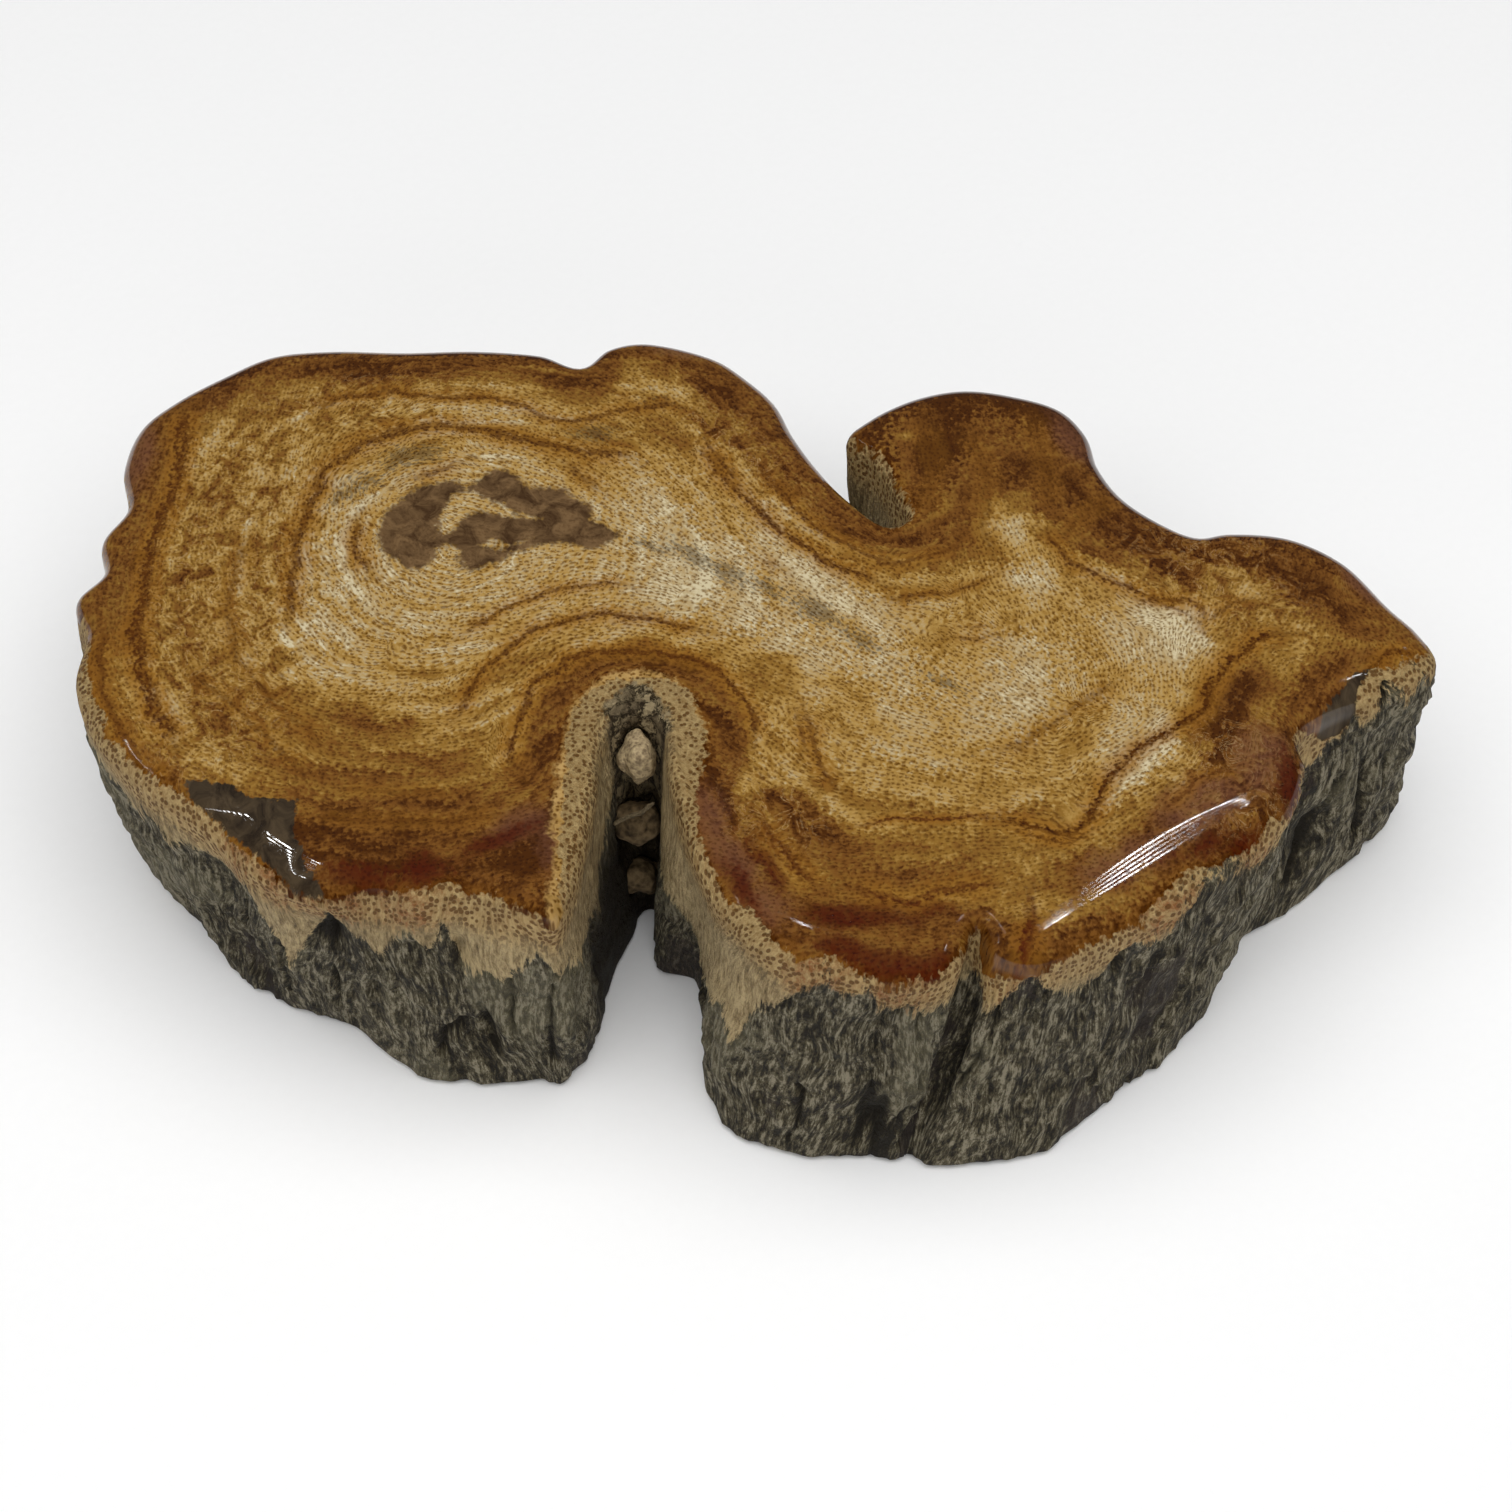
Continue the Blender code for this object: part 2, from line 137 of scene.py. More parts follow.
# Where the dark bark begins, in the same terms.
BARK_EDGE = (
    (0, -5.0), (12, -6.0), (22, -5.0), (30, -5.9), (34, -4.4), (38, -4.0), (42, -2.9), (43, -6.5),
    (45, -11.0), (46, -16.8), (50, -7.4), (53, -1.5), (54, -6.0), (58, -9.0), (60, -5.3), (63, -6.8),
    (65, -1.5), (66, -9.1), (70, -10.6), (73, -8.4), (75, -3.8), (78, -9.2), (81, -10.7), (90, -13.0),
    (104, -6.0), (112, -12.0), (117, -13.1), (121, -14.6), (125, -17.6), (128, -22.0), (135, -14.4),
    (138, -18.0), (140, -9.0), (142, -5.3), (144, -3.0), (146, 0.0), (148, -1.5), (150, -0.8),
    (153, -3.0), (159, -3.8), (164, -7.7), (168, -3.1), (170, -6.9), (172, -2.0), (174, -1.5),
    (176, -3.8), (179, -5.1), (182, -4.3), (186, -1.5), (190, -2.9), (192, -0.7), (194, 0.4),
    (201, 0.1), (204, -2.2), (214, 0.2), (216, 0.3), (220, -6.0), (224, -3.8), (225, -1.5),
    (228, -2.2), (229, 1.3), (233, 0.2), (235, 0.0), (240, -3.0), (260, -4.5), (280, -3.0),
    (300, -5.0), (318, -4.0), (330, -12.0), (346, -9.0), (360, -4.0), (380, -5.0), (391, -3.0),
    (410, -4.5), (430, -4.0), (446, -3.5), (459, -5.0),
)

# The brown band inside the rim: mm along the rim, the band's width, and its tone from 0, dark, to 1.
RIM_BAND = (
    (0, 8, 0.24), (20, 6, 0.32), (36, 5, 0.34), (48, 8, 0.14), (60, 10, 0.14), (76, 9, 0.24),
    (84, 7, 0.30), (104, 6, 0.22), (124, 7, 0.26), (134, 9, 0.26), (145, 10, 0.24), (160, 8, 0.28),
    (176, 7, 0.32), (190, 7, 0.30), (204, 11, 0.22), (222, 8, 0.24), (236, 7, 0.30), (253, 13, 0.18),
    (271, 9, 0.24), (290, 14, 0.13), (312, 12, 0.15), (324, 6, 0.18), (346, 6, 0.24), (367, 7, 0.22),
    (391, 7, 0.18), (421, 9, 0.20), (446, 8, 0.24),
)

# Soft pools of lighter and darker wood: x, y, half-axes, turn in degrees, tone and how fully it covers.
POOLS = (
    (-57, 5, 9, 25, 0, 0.43, 1.0), (-46, -14, 15, 7, -25, 0.39, 1.0), (-35, -20, 16, 4, 0, 0.30, 0.9),
    (-34, -25, 14, 4, 0, 0.14, 0.9), (-33, 14, 17, 16, 0, 0.74, 1.0), (-44, 3, 8, 13, 0, 0.80, 0.9),
    (-46, 16, 3, 8, 0, 0.76, 0.9), (-33, 33, 11, 2.2, 0, 0.74, 0.9), (-18, 31, 8, 2.4, -5, 0.62, 0.8),
    (-33, 2, 11, 7, 0, 0.72, 0.9), (-36, -8, 8, 4, 0, 0.60, 0.8), (-15, 13, 12, 9, 0, 0.72, 1.0),
    (-8, 21, 10, 5, -52, 0.72, 0.9), (2, 17, 4, 4, 0, 0.76, 0.8), (0, 5, 14, 8, -32, 0.83, 1.0),
    (12, -4, 14, 7, -36, 0.82, 1.0), (3, -1, 5, 3, -35, 0.88, 0.9), (24, -7, 11, 9, 0, 0.72, 1.0),
    (24, 1, 9, 6, 0, 0.60, 0.9), (30, 10, 3.5, 8, 0, 0.80, 0.9), (36, -4, 9, 9, 0, 0.72, 0.9),
    (43, 0, 6.5, 5, 0, 0.86, 1.0), (39, -14, 5.5, 6, 0, 0.84, 0.9), (18, -19, 16, 4.5, 0, 0.62, 1.0),
    (32, -13, 5, 5, 0, 0.62, 0.8), (8, -12, 5, 6, -20, 0.50, 0.8), (54, 1, 5, 7, -20, 0.40, 0.9),
    (44, 9, 8, 4, -25, 0.42, 0.9), (36, 15, 6, 6, -50, 0.44, 0.9), (21, 9, 7, 4, 10, 0.52, 0.8),
    (20, 20, 6, 10, 0, 0.15, 0.9), (50, -12, 7, 5, 40, 0.14, 0.9), (52, -20, 6, 8, -20, 0.20, 0.9),
    (42, -26, 7, 4, 30, 0.26, 0.8), (28, -31, 13, 4, 0, 0.30, 0.9), (10, -31, 13, 5, 5, 0.34, 0.9),
    (4, -25, 6, 5, 0, 0.16, 0.8), (12, -23.5, 9, 2.4, -5, 0.46, 0.8), (27, -22, 7, 3, 5, 0.52, 0.8),
    (-12, 1, 12, 4, 0, 0.70, 0.8), (2, -6, 4, 3, -45, 0.36, 0.6), (-27, -8, 4, 9, -10, 0.50, 0.8),
    (-9, 30, 12, 3, 0, 0.46, 0.8), (1, 27, 13, 4, -55, 0.32, 0.9), (-44, 36, 16, 3, 5, 0.42, 0.7),
    (60, 8, 6, 5, -40, 0.40, 0.9), (-21.5, -14, 2.4, 6, 0, 0.16, 0.8), (-2.5, -14, 2.2, 6, 0, 0.18, 0.8),
    (26, 27, 9, 9, 0, 0.05, 0.9), (52, -11, 6, 7, 0, 0.02, 0.9),
)

# Growth lines on the top: the points, the width, the strength, and the hue from 0, golden, to 1, maroon.
GROWTH_LINES = (
    ((-64.5, 34, -64.3, 25, -65.5, 15, -66, 8, -66.3, 0, -65, -5, -62.5, -11, -60, -15), 1.3, 0.9, 0.2),
    ((-69.5, 1, -69.5, -4, -68.5, -8, -66, -13, -64, -17), 0.8, 0.7, 0.2),
    ((-50.5, 2, -50.3, 8, -49.7, 10, -50, 15, -49.3, 20, -47.5, 24.5, -44, 28, -40.5, 30, -35, 30.8,
      -30, 29.8, -25, 28.3, -20, 26.8, -15, 26.5, -13.5, 25.5), 1.0, 0.8, 0.0),
    ((-50, 33, -47, 35, -42, 36.3, -36, 35.3, -30, 35.3, -27, 34, -24.5, 32.3, -21.5, 31.2, -18.5, 32,
      -15, 33, -11, 34, -8, 33.5), 0.6, 0.75, 0.0),
    ((-16, 36.3, -14, 34.5), 0.5, 0.6, 0.0),
    ((-43.5, 17, -44, 13, -43, 10.5, -41.5, 8.5), 0.7, 0.8, 0.0),
    ((-38.5, 22.5, -36.5, 23, -34.5, 24, -32.5, 25.2), 0.7, 0.7, 0.0),
    ((-22, 25, -20, 23.5, -18.5, 22, -17, 20.5), 0.8, 0.6, 0.0),
    ((-31, 0, -29, 2, -26, 4, -23, 6, -19.5, 7, -15, 7, -13.5, 6.7), 0.5, 0.75, 0.0),
    ((-31.5, -12, -31, -10, -29.5, -7, -27, -2.5, -24.5, 0.3, -22.5, 0.8, -20, 2, -17, 2.7, -14, 2.2,
      -10.5, 1.6, -8, 0.8, -5, 0), 0.6, 0.85, 0.0),
    ((-7, 27, -5, 26, -4, 23, -2, 21, 0, 18, 2.5, 15, 6, 12, 9, 9.3, 12, 8, 13.5, 7), 0.7, 0.9, 0.0),
    ((-5.5, 30, -5, 27, -3.5, 24, -1.5, 21.5), 0.5, 0.7, 0.0),
    ((0, 11, 3, 9), 0.5, 0.5, 0.0),
    ((0.5, 24, 3, 20, 5.5, 17, 8, 14, 12, 11, 15, 9.7, 18, 10.3, 20.5, 11.5, 22, 13), 0.6, 0.7, 0.2),
    ((15, 5, 19, 5.5, 22, 6.3, 24, 7, 26, 8.5), 0.45, 0.7, 0.1),
    ((15.6, 5.1, 16.9, 5.2), 1.3, 0.9, 0.1),
    ((31.5, 15, 33, 12.5, 35, 9.5, 38, 7, 40.5, 6.3, 42.5, 5.2, 45, 4.6, 47, 4.6, 47.6, 3, 48, 1.2),
     0.55, 0.85, 0.1),
    ((40, 5.2, 43, 4.5, 45.5, 3, 47, 1.5), 0.4, 0.6, 0.1),
    ((48, 1.5, 49.5, 3.5, 51.5, 4.8, 54, 5.5), 0.45, 0.7, 0.1),
    ((57, 0, 54, -0.7, 51.5, -2.5, 49.3, -4.5, 48, -7, 47, -10, 45.3, -12, 42.5, -13.5, 40, -15.5,
      37.5, -18, 35.8, -20.5, 35, -23, 34, -25.5, 32, -26.6, 30, -26.4, 27, -25.6, 24.5, -25),
     0.7, 1.0, 0.0),
    ((24, -24, 20, -24.7, 15, -24.8, 10, -25.5), 0.35, 0.8, 0.8),
    ((23.1, -24.5, 23.9, -24.3), 0.9, 0.9, 0.8),
    ((34.5, -26.5, 32.5, -27.6, 29, -27.2, 26, -26.3), 0.4, 0.7, 0.1),
    ((38, -6.5, 35.5, -9, 32, -11.3, 29.5, -13.5, 27, -15.5, 24, -16.5), 0.7, 0.45, 0.0),
    ((20, -0.5, 23.5, -0.7, 26, 0), 0.4, 0.6, 0.0),
    ((22, 1, 25, 1.2), 0.4, 0.6, 0.0),
    ((50, -18, 47.5, -18.5, 45, -19.8, 43.5, -22, 41, -24), 0.5, 0.7, 0.4),
    ((-24.5, -19, -25.3, -15, -24.7, -11, -23, -7, -20.5, -4, -17.5, -2.5, -14, -2.3, -10, -2.6,
      -7, -3.3, -4.5, -5, -2.2, -7, -0.8, -9.5, 0, -12, 0, -15), 0.7, 0.85, 0.2),
    ((4.7, -12, 4.8, -14, 4.6, -16), 0.5, 0.7, 0.2),
    ((5.3, -10.5, 5.9, -13, 6.1, -16, 6.8, -18.5, 8, -20.3, 8.8, -21), 0.6, 0.75, 0.1),
    ((-60, -5, -55, -9.5, -51, -14, -46, -19), 0.6, 0.55, 0.0),
    ((-56, 14, -57, 4, -55, -4, -50, -10, -44, -16), 0.7, 0.45, 0.0),
    ((-45, -24.5, -38, -25.4, -31, -25, -25, -24.2), 0.6, 0.5, 0.2),
    ((-43, -20.5, -36, -21.6, -30, -21), 0.5, 0.45, 0.1),
    ((0, -24, 2, -28, 5, -31.5, 7, -34), 0.8, 0.7, 0.7),
    ((9, -33, 15, -35, 20, -33.5, 25, -33), 0.9, 0.75, 0.8),
    ((40, 20, 36, 17, 33, 13), 0.8, 0.4, 0.0),
    ((24, 30, 26, 22, 25, 15, 26, 10), 0.9, 0.35, 0.0),
    ((19, 32, 20, 24, 19, 16), 0.9, 0.35, 0.0),
    ((31, 33, 32, 25, 33, 18), 0.8, 0.35, 0.0),
    ((64.9, -5.7, 66.9, -2.7, 69.5, -2.5, 71, -3.3), 0.7, 0.9, 0.1),
    ((-63, -17.5, -60.5, -19.3), 0.6, 0.9, 0.2),
    ((27.5, -36, 27, -39, 26, -43), 0.7, 0.85, 1.0),
)

# Which way the rows of pores run: plan x and y, and the angle from +X in degrees.
ROW_ANGLES = (
    (-66, 28, 80), (-60, 28, 95), (-54, 28, 85), (-48, 28, 65), (-42, 28, 30), (-36, 28, 0),
    (-30, 28, -25), (-18, 28, -35), (-12, 28, -45), (-6, 28, -60), (-54, 22, 90), (-66, 16, 80),
    (-48, 16, -85), (-42, 10, -65), (-42, 4, -55), (-36, 4, -20), (-30, 4, 10), (-24, 4, 25),
    (-18, 4, 5), (-12, 4, -10), (-66, 4, -85), (-60, -2, -60), (-54, -2, -60), (-48, -2, -50),
    (-48, -8, -25), (-42, -8, 0), (-36, -8, 5), (-30, -8, 50), (-24, -8, 50), (-24, -14, 75),
    (-48, -14, -30), (-42, -14, -5), (-36, -14, 5), (-30, -14, 5), (-42, -26, 5), (-30, -26, 15),
    (-12, 10, -30), (-6, 10, -38), (0, 10, -42), (-6, 16, -50), (0, 22, -55), (6, 16, -50),
    (12, 10, -35), (6, 4, -45), (12, 4, -45), (-12, -2, -10), (-6, -2, -20), (0, -2, -30),
    (6, -2, -35), (12, -2, -40), (18, -2, -50), (24, -2, -30), (30, -2, -50), (6, -8, -30),
    (12, -8, -25), (18, -8, -35), (24, -8, -35), (30, -8, -40), (18, 4, -10), (12, -14, -22),
    (18, -14, -22), (24, -14, -25), (6, -14, -60), (12, -20, -10), (24, -20, -15), (30, -20, -10),
    (6, -26, -20), (12, -26, 0), (24, -26, 0), (12, -32, 5), (18, -32, 15), (30, -32, 20),
    (36, -26, 40), (36, -20, 35), (36, -14, 40), (42, -14, 50), (42, -20, 40), (48, -14, 65),
    (48, -8, 65), (48, -2, 55), (48, 4, 75), (42, -8, 90), (42, -2, -85), (36, -8, -75),
    (36, -2, -65), (30, 4, -70), (36, 4, -60), (42, 4, -30), (30, 10, -75), (36, 10, -55),
    (42, 10, -40), (18, 16, 85), (18, 28, -85), (24, 28, -80), (30, 28, -70), (36, 22, -75),
    (30, 22, -75), (36, 16, -65), (24, 10, -80), (54, 4, 50), (54, -2, 45), (54, -8, 50),
    (60, 4, 75), (60, -2, 65), (54, -14, 90), (66, 4, -60),
)

# Outlines of the patches on the top, as closed polygons.
HEART_EDGE = (
    (-41.3, 14.6), (-40.8, 16.5), (-39.6, 18.4), (-38.1, 20.4), (-36.6, 21.3), (-33.6, 21.6),
    (-32.2, 20.6), (-30.7, 21.6), (-29.4, 23.7), (-28.2, 23.3), (-26.6, 22.3), (-24.9, 21.0),
    (-23.1, 20.6), (-21.5, 20.4), (-20.1, 19.2), (-18.7, 17.9), (-18.2, 16.4), (-16.6, 15.9),
    (-16.5, 14.9), (-14.9, 14.0), (-16.7, 13.1), (-18.3, 12.6), (-19.8, 13.1), (-21.6, 13.1),
    (-23.2, 12.9), (-25.0, 12.4), (-26.3, 11.7), (-28.0, 10.8), (-29.6, 10.5), (-30.9, 9.2),
    (-32.0, 9.6), (-32.5, 10.9), (-31.9, 12.1), (-33.1, 12.8), (-34.5, 12.9), (-35.5, 12.0),
    (-35.9, 10.6), (-36.8, 9.3), (-38.0, 9.5), (-39.2, 10.6), (-40.6, 11.7), (-41.2, 13.1),
)
HEART_CREAM = (
    ((-34.9, 18.1), (-34.0, 20.0), (-32.7, 20.4), (-31.3, 20.6), (-30.1, 19.8), (-28.0, 19.2),
     (-26.6, 18.1), (-24.8, 17.7), (-22.5, 16.7), (-24.3, 16.5), (-27.4, 16.4), (-28.8, 16.9),
     (-30.6, 17.1), (-31.7, 16.5), (-33.0, 15.3), (-34.3, 14.1), (-35.5, 13.7), (-35.8, 15.2)),
    ((-30.8, 12.6), (-29.8, 13.4), (-28.4, 13.7), (-26.8, 13.2), (-25.1, 13.8), (-23.6, 14.0),
     (-24.6, 13.2), (-26.3, 12.6), (-27.4, 12.0), (-28.5, 11.7), (-29.7, 12.0)),
)
GREY_EDGES = (
    ((-41.9, 25.1), (-40.9, 26.7), (-39.5, 27.5), (-37.2, 27.5), (-35.4, 26.9), (-35.6, 25.7),
     (-37.3, 25.2), (-39.3, 24.8), (-40.7, 24.2), (-41.7, 24.2)),
    ((-46.9, 20.2), (-45.3, 21.6), (-43.8, 22.7), (-42.5, 23.3), (-42.0, 22.6), (-43.0, 21.6),
     (-44.1, 20.4), (-45.4, 19.6), (-46.7, 19.0)),
    ((-20.9, 29.9), (-19.3, 30.5), (-17.5, 30.3), (-16.0, 29.6), (-17.4, 28.8), (-19.3, 28.8)),
)
CHALCEDONY_EDGE = (
    (-59.1, -19.3), (-57.7, -19.6), (-53.8, -20.3), (-51.9, -21.9), (-46.9, -22.5), (-47.0, -26.6),
    (-45.8, -28.4), (-45.5, -30.2), (-43.1, -33.2), (-44.8, -33.0), (-46.7, -31.8), (-48.7, -30.0),
    (-51.2, -27.6), (-54.6, -24.7), (-57.4, -22.3), (-58.6, -20.8),
)
DARK_PATCH_EDGE = (
    (59.4, -10.6), (61.2, -7.8), (63.2, -5.4), (65.6, -4.8), (66.4, -6.2), (65.8, -8.4), (62.8, -11.2),
)
MATRIX_EDGE = (
    (-15.4, -13.5), (-15.4, -10.0), (-14.4, -8.0), (-13.3, -7.0), (-11.0, -7.3), (-9.7, -9.0),
    (-9.0, -12.0), (-9.2, -13.5),
)

# The outer boundary of the pale halo round the cleft.
HALO = (
    (-20.6, -40), (-20.6, -21.5), (-20.2, -18), (-19.8, -14), (-19.3, -10.5), (-17.8, -7.5),
    (-15.5, -5.8), (-13, -5.2), (-10.5, -5.4), (-8.3, -6.6), (-6.6, -9), (-5.7, -12), (-5.5, -15),
    (-5.8, -18), (-6.5, -20), (-7.2, -22), (-7.2, -40),
)

# Softer patches, each an ellipse: x, y, half-axes and turn in degrees.
GREY_WOOD = (
    (-7, 11.5, 3.2, 1.2, -35), (-3, 8.5, 3.0, 1.3, -38), (1.5, 6.5, 2.6, 1.0, -38),
    (6.5, 3, 3.2, 1.4, -40), (11, -1, 2.4, 0.9, -38), (20, -7, 2.6, 0.7, -35),
    (-11, 34.3, 1.6, 0.8, 0), (-11.5, 12.5, 2.2, 0.8, -20),
)
MAROON = (
    (-33.4, -30.9, 2.6, 1.7, 8), (-33, -34.6, 4.6, 1.8, 0), (-26, -27.5, 4.4, 0.9, 28),
    (12, -36.5, 7.5, 1.8, 4), (13, -42, 5.0, 1.4, -6), (17, -42.4, 2.4, 1.6, 20),
    (8.5, -40.5, 3.4, 1.2, -15), (50, -27, 2.6, 1.0, 40), (55, -19.5, 1.1, 3.4, 8), (1, -30, 1.2, 4.0, 25),
    (27, -38, 0.7, 3.8, -10), (-40, -31.2, 3.4, 1.2, 0), (38, -31, 4.0, 0.6, 35), (46, -27.5, 3.0, 0.6, 35),
    (-1.5, -33.5, 1.0, 3.4, 30),
)
MAUVE = (
    (-5, -24, 1.9, 3.8, 22), (-2.6, -29.5, 1.8, 5.0, 28), (-24, -25.5, 3.4, 1.8, 30),
    (-19.5, -28, 2.4, 4.0, 0), (45, -23, 5.4, 3.2, 38), (52, -17, 2.6, 4.0, -10), (37, -30, 5.0, 2.2, 30),
    (-69.5, 27, 2.0, 5.4, 0), (35, 29, 1.6, 3.6, 20), (66, 7, 1.6, 4.0, 35), (-8, 43, 3.4, 1.2, 0),
    (1, -35.5, 2.4, 2.4, 0),
)
RUST = (
    (-53.0, -26.9, 1.5, 0.9, -40), (-49.1, -30.6, 2.0, 1.1, -40), (-45.7, -33.2, 1.4, 1.4, 0),
    (-36, -33.5, 4.4, 1.2, 0), (-41, -33.8, 2.0, 1.2, 0), (-17.5, -37, 1.8, 1.2, 0),
    (6, -43, 4.0, 1.4, -15), (15, -44.4, 4.8, 1.5, -5), (27, -42.4, 2.5, 1.0, 0), (42, -34, 4, 0.9, 32),
    (50, -28.5, 3.0, 0.9, 40), (55.8, -20, 0.9, 4.0, 0), (-33, -35.2, 3.0, 0.9, 0),
)
BURL = ((-57, 6, 10, 27, 0), (-45, 34, 14, 4, 5), (-2, 26, 12, 3.5, -55), (50, 8, 9, 6, -35),
        (48, -19, 7, 8, -20), (2, -24, 5, 6, 0))

# Lumps wedged in the cleft: CAD node, name, finish, plan centre and height, half-axes and seed.
LUMPS = (
    ("cleft_pebble", "cleft_pebble_stone", "pebble", (-12.1, -12.3, 28.2), (2.1, 2.5, 3.3), 11),
    ("cleft_clod_upper", "cleft_clod_upper_earth", "earth", (-12.4, -13.3, 18.2), (2.5, 2.3, 2.9), 23),
    ("cleft_clod_lower", "cleft_clod_lower_earth", "earth", (-12.6, -13.0, 8.2), (2.4, 2.3, 2.3), 37),
)
LUMP_ROUGHNESS = 0.22
LUMP_GAP = 0.3
ROOTLET_ROUTE = ((-14.7, -17.0, 22.8), (-13.3, -16.4, 23.4), (-11.8, -16.0, 23.6), (-10.4, -15.6, 24.8))

# The slice's attributes, and the three fields that each one holds for its material. Fields of patches
# and edges are mm inside them, below zero outside.
FIELDS = {
    "edge": ("polish", "bark", "halo"),
    "grain": ("double_cos", "double_sin", "growth"),
    "tone": ("tone", "burl", "matrix"),
    "wall": ("hollow", "soil", "areas"),
    "heart": ("heart", "grey", "chalcedony"),
    "stain": ("maroon", "mauve", "rust"),
}
NEVER = -30.0

# Growth lines are held in a few layers, and each one fades out within a few mm.
LINE_LAYERS = 4
LINE_REACH = 2.4

# The place in plan that the growth rings close round.
HEART_CENTRE = (-33.0, 14.0)

# Strips of lamps over the slice: name, start and end in plan, width, and number of bars.
STRIPS = (
    ("left_strip", (-630.0, 150.0), (-1220.0, -485.0), 8.0, 12),
    ("right_strip", (264.0, 437.0), (430.0, 180.0), 9.0, 5),
    ("middle_strip", (-3.0, 492.0), (-31.0, 384.0), 6.0, 3),
)
STRIP_HEIGHT = 900.0
STRIP_BAR_SHARE = 0.4

# The place that the camera looks at.
CAMERA_TARGET = (0.0, -3.4, 17.0)


def linear(code):
    """An sRGB hex colour as linear red, green and blue, by the sRGB curve."""
    parts = [int(code[i:i + 2], 16) / 255.0 for i in (1, 3, 5)]
    return tuple(p / 12.92 if p <= 0.04045 else ((p + 0.055) / 1.055) ** 2.4 for p in parts)


# Shapes, worked out as whole arrays.


def in_frame(place):
    """A place, or rows of places, in the CAD model's plan, moved into the frame."""
    return np.array(place, float) - (*PLAN_CENTRE, 0.0)


def corner_value(i, j, k):
    """A repeatable number from -1 to 1 for each corner of a whole-number lattice."""
    mixed = (i * 73856093) ^ (j * 19349663) ^ (k * 83492791)
    mixed = ((mixed ^ (mixed >> 13)) * 1274126177) & 0xFFFFFFFF
    return ((mixed ^ (mixed >> 16)) & 0xFFFF) / 32767.5 - 1.0


def noise(points, size, seed=0.0):
    """Lattice values blended smoothly between the corners, for x, y, z divided by size."""
    points = points / np.asarray(size, float) + seed
    cell = np.floor(points).astype(np.int64)
    part = points - cell
    part = part * part * (3.0 - 2.0 * part)
    total = np.zeros(points.shape[:-1])
    for corner in np.ndindex(2, 2, 2):
        weight = np.prod(np.where(corner, part, 1.0 - part), axis=-1)
        total += weight * corner_value(*np.moveaxis(cell + corner, -1, 0))
    return total


def step_up(value, low, high):
    """Zero below low and one above high, with a smooth rise between."""
    t = np.clip((value - low) / (high - low), 0.0, 1.0)
    return t * t * (3.0 - 2.0 * t)


def hermite(start, end, leave, arrive, u):
    """The cubic from start to end that leaves and arrives along the given slopes."""
    a = (1.0 + 2.0 * u) * (1.0 - u) ** 2
    b = u * (1.0 - u) ** 2
    c = u * u * (3.0 - 2.0 * u)
    d = u * u * (u - 1.0)
    return a * start + b * leave + c * end + d * arrive


def filled_in(route, count):
    """A route as count points, with as many of them between each two of its own points."""
    steps = np.linspace(0.0, len(route) - 1.0, count)
    return np.stack([np.interp(steps, np.arange(len(route)), column) for column in route.T], axis=1)


def closed_curve(rows, count, samples=32):
    """A smooth closed curve through the rows, as count rows spaced evenly along the rim.

    Between two rows it is a cubic, and its slope at a row weighs the chords on both sides by the square
    root of their length.
    """
    here = np.array(rows, float)
    before, after, beyond = (np.roll(here, step, axis=0) for step in (1, -1, -2))
    reach = np.sqrt(np.linalg.norm((after - here)[:, :2], axis=1))[:, None]
    reach_before, reach_beyond = np.roll(reach, 1, axis=0), np.roll(reach, -1, axis=0)
    leave = (here - before) / reach_before - (after - before) / (reach_before + reach)
    leave = (leave + (after - here) / reach) * reach
    arrive = (after - here) / reach - (beyond - here) / (reach + reach_beyond)
    arrive = (arrive + (beyond - after) / reach_beyond) * reach
    u = np.linspace(0.0, 1.0, samples, endpoint=False)[None, :, None]
    curve = hermite(here[:, None], after[:, None], leave[:, None], arrive[:, None], u)
    curve = curve.reshape(-1, here.shape[1])
    curve = np.vstack([curve, curve[:1]])
    along = np.concatenate([[0.0], np.cumsum(np.linalg.norm(np.diff(curve[:, :2], axis=0), axis=1))])
    wanted = np.linspace(0.0, along[-1], count, endpoint=False)
    return np.stack([np.interp(wanted, along, column) for column in curve.T], axis=1), along[-1]


def outward(loop):
    """Unit normals of a closed anticlockwise loop, from chords 4 and 7 stations long each way."""
    tangent = np.roll(loop, -7, axis=0) - np.roll(loop, 7, axis=0)
    tangent += np.roll(loop, -4, axis=0) - np.roll(loop, 4, axis=0)
    normal = np.stack([tangent[:, 1], -tangent[:, 0]], axis=1)
    return normal / np.linalg.norm(normal, axis=1, keepdims=True)


def eased(column, reach=12):
    """Each station's value, averaged over its neighbours."""
    return sum(np.roll(column, step, axis=0) for step in range(-reach, reach + 1)) / (2 * reach + 1.0)


def read_along(table, along, length, column=1):
    """A table's column at each place along the rim, straight between its rows and closed on itself."""
    rows = np.array(table, float)
    return np.interp(along, rows[:, 0], rows[:, column], period=length)


def pit_depth(points):
    """How far the pits sink the wall: a bell-shaped hollow at each one."""
    depth = np.zeros(points.shape[:-1])
    for x, y, z, spread, height, deepest in PITS:
        away = (points - in_frame((x, y, z))) / (spread, spread, height)
        depth += deepest * np.exp(-np.sum(away * away, axis=-1))
    return depth


def crack_depth(points):
    """How far the cracks sink the wall: a bell-shaped groove along each route."""
    depth = np.zeros(points.shape[:-1])
    for route, width, deepest in CRACKS:
        nearest = np.full(points.shape[:-1], 1e9)
        for spot in filled_in(np.array(route), 60):
            nearest = np.minimum(nearest, np.sum((points - spot) ** 2, axis=-1))
        depth = np.maximum(depth, deepest * np.exp(-nearest / width ** 2))
    return depth


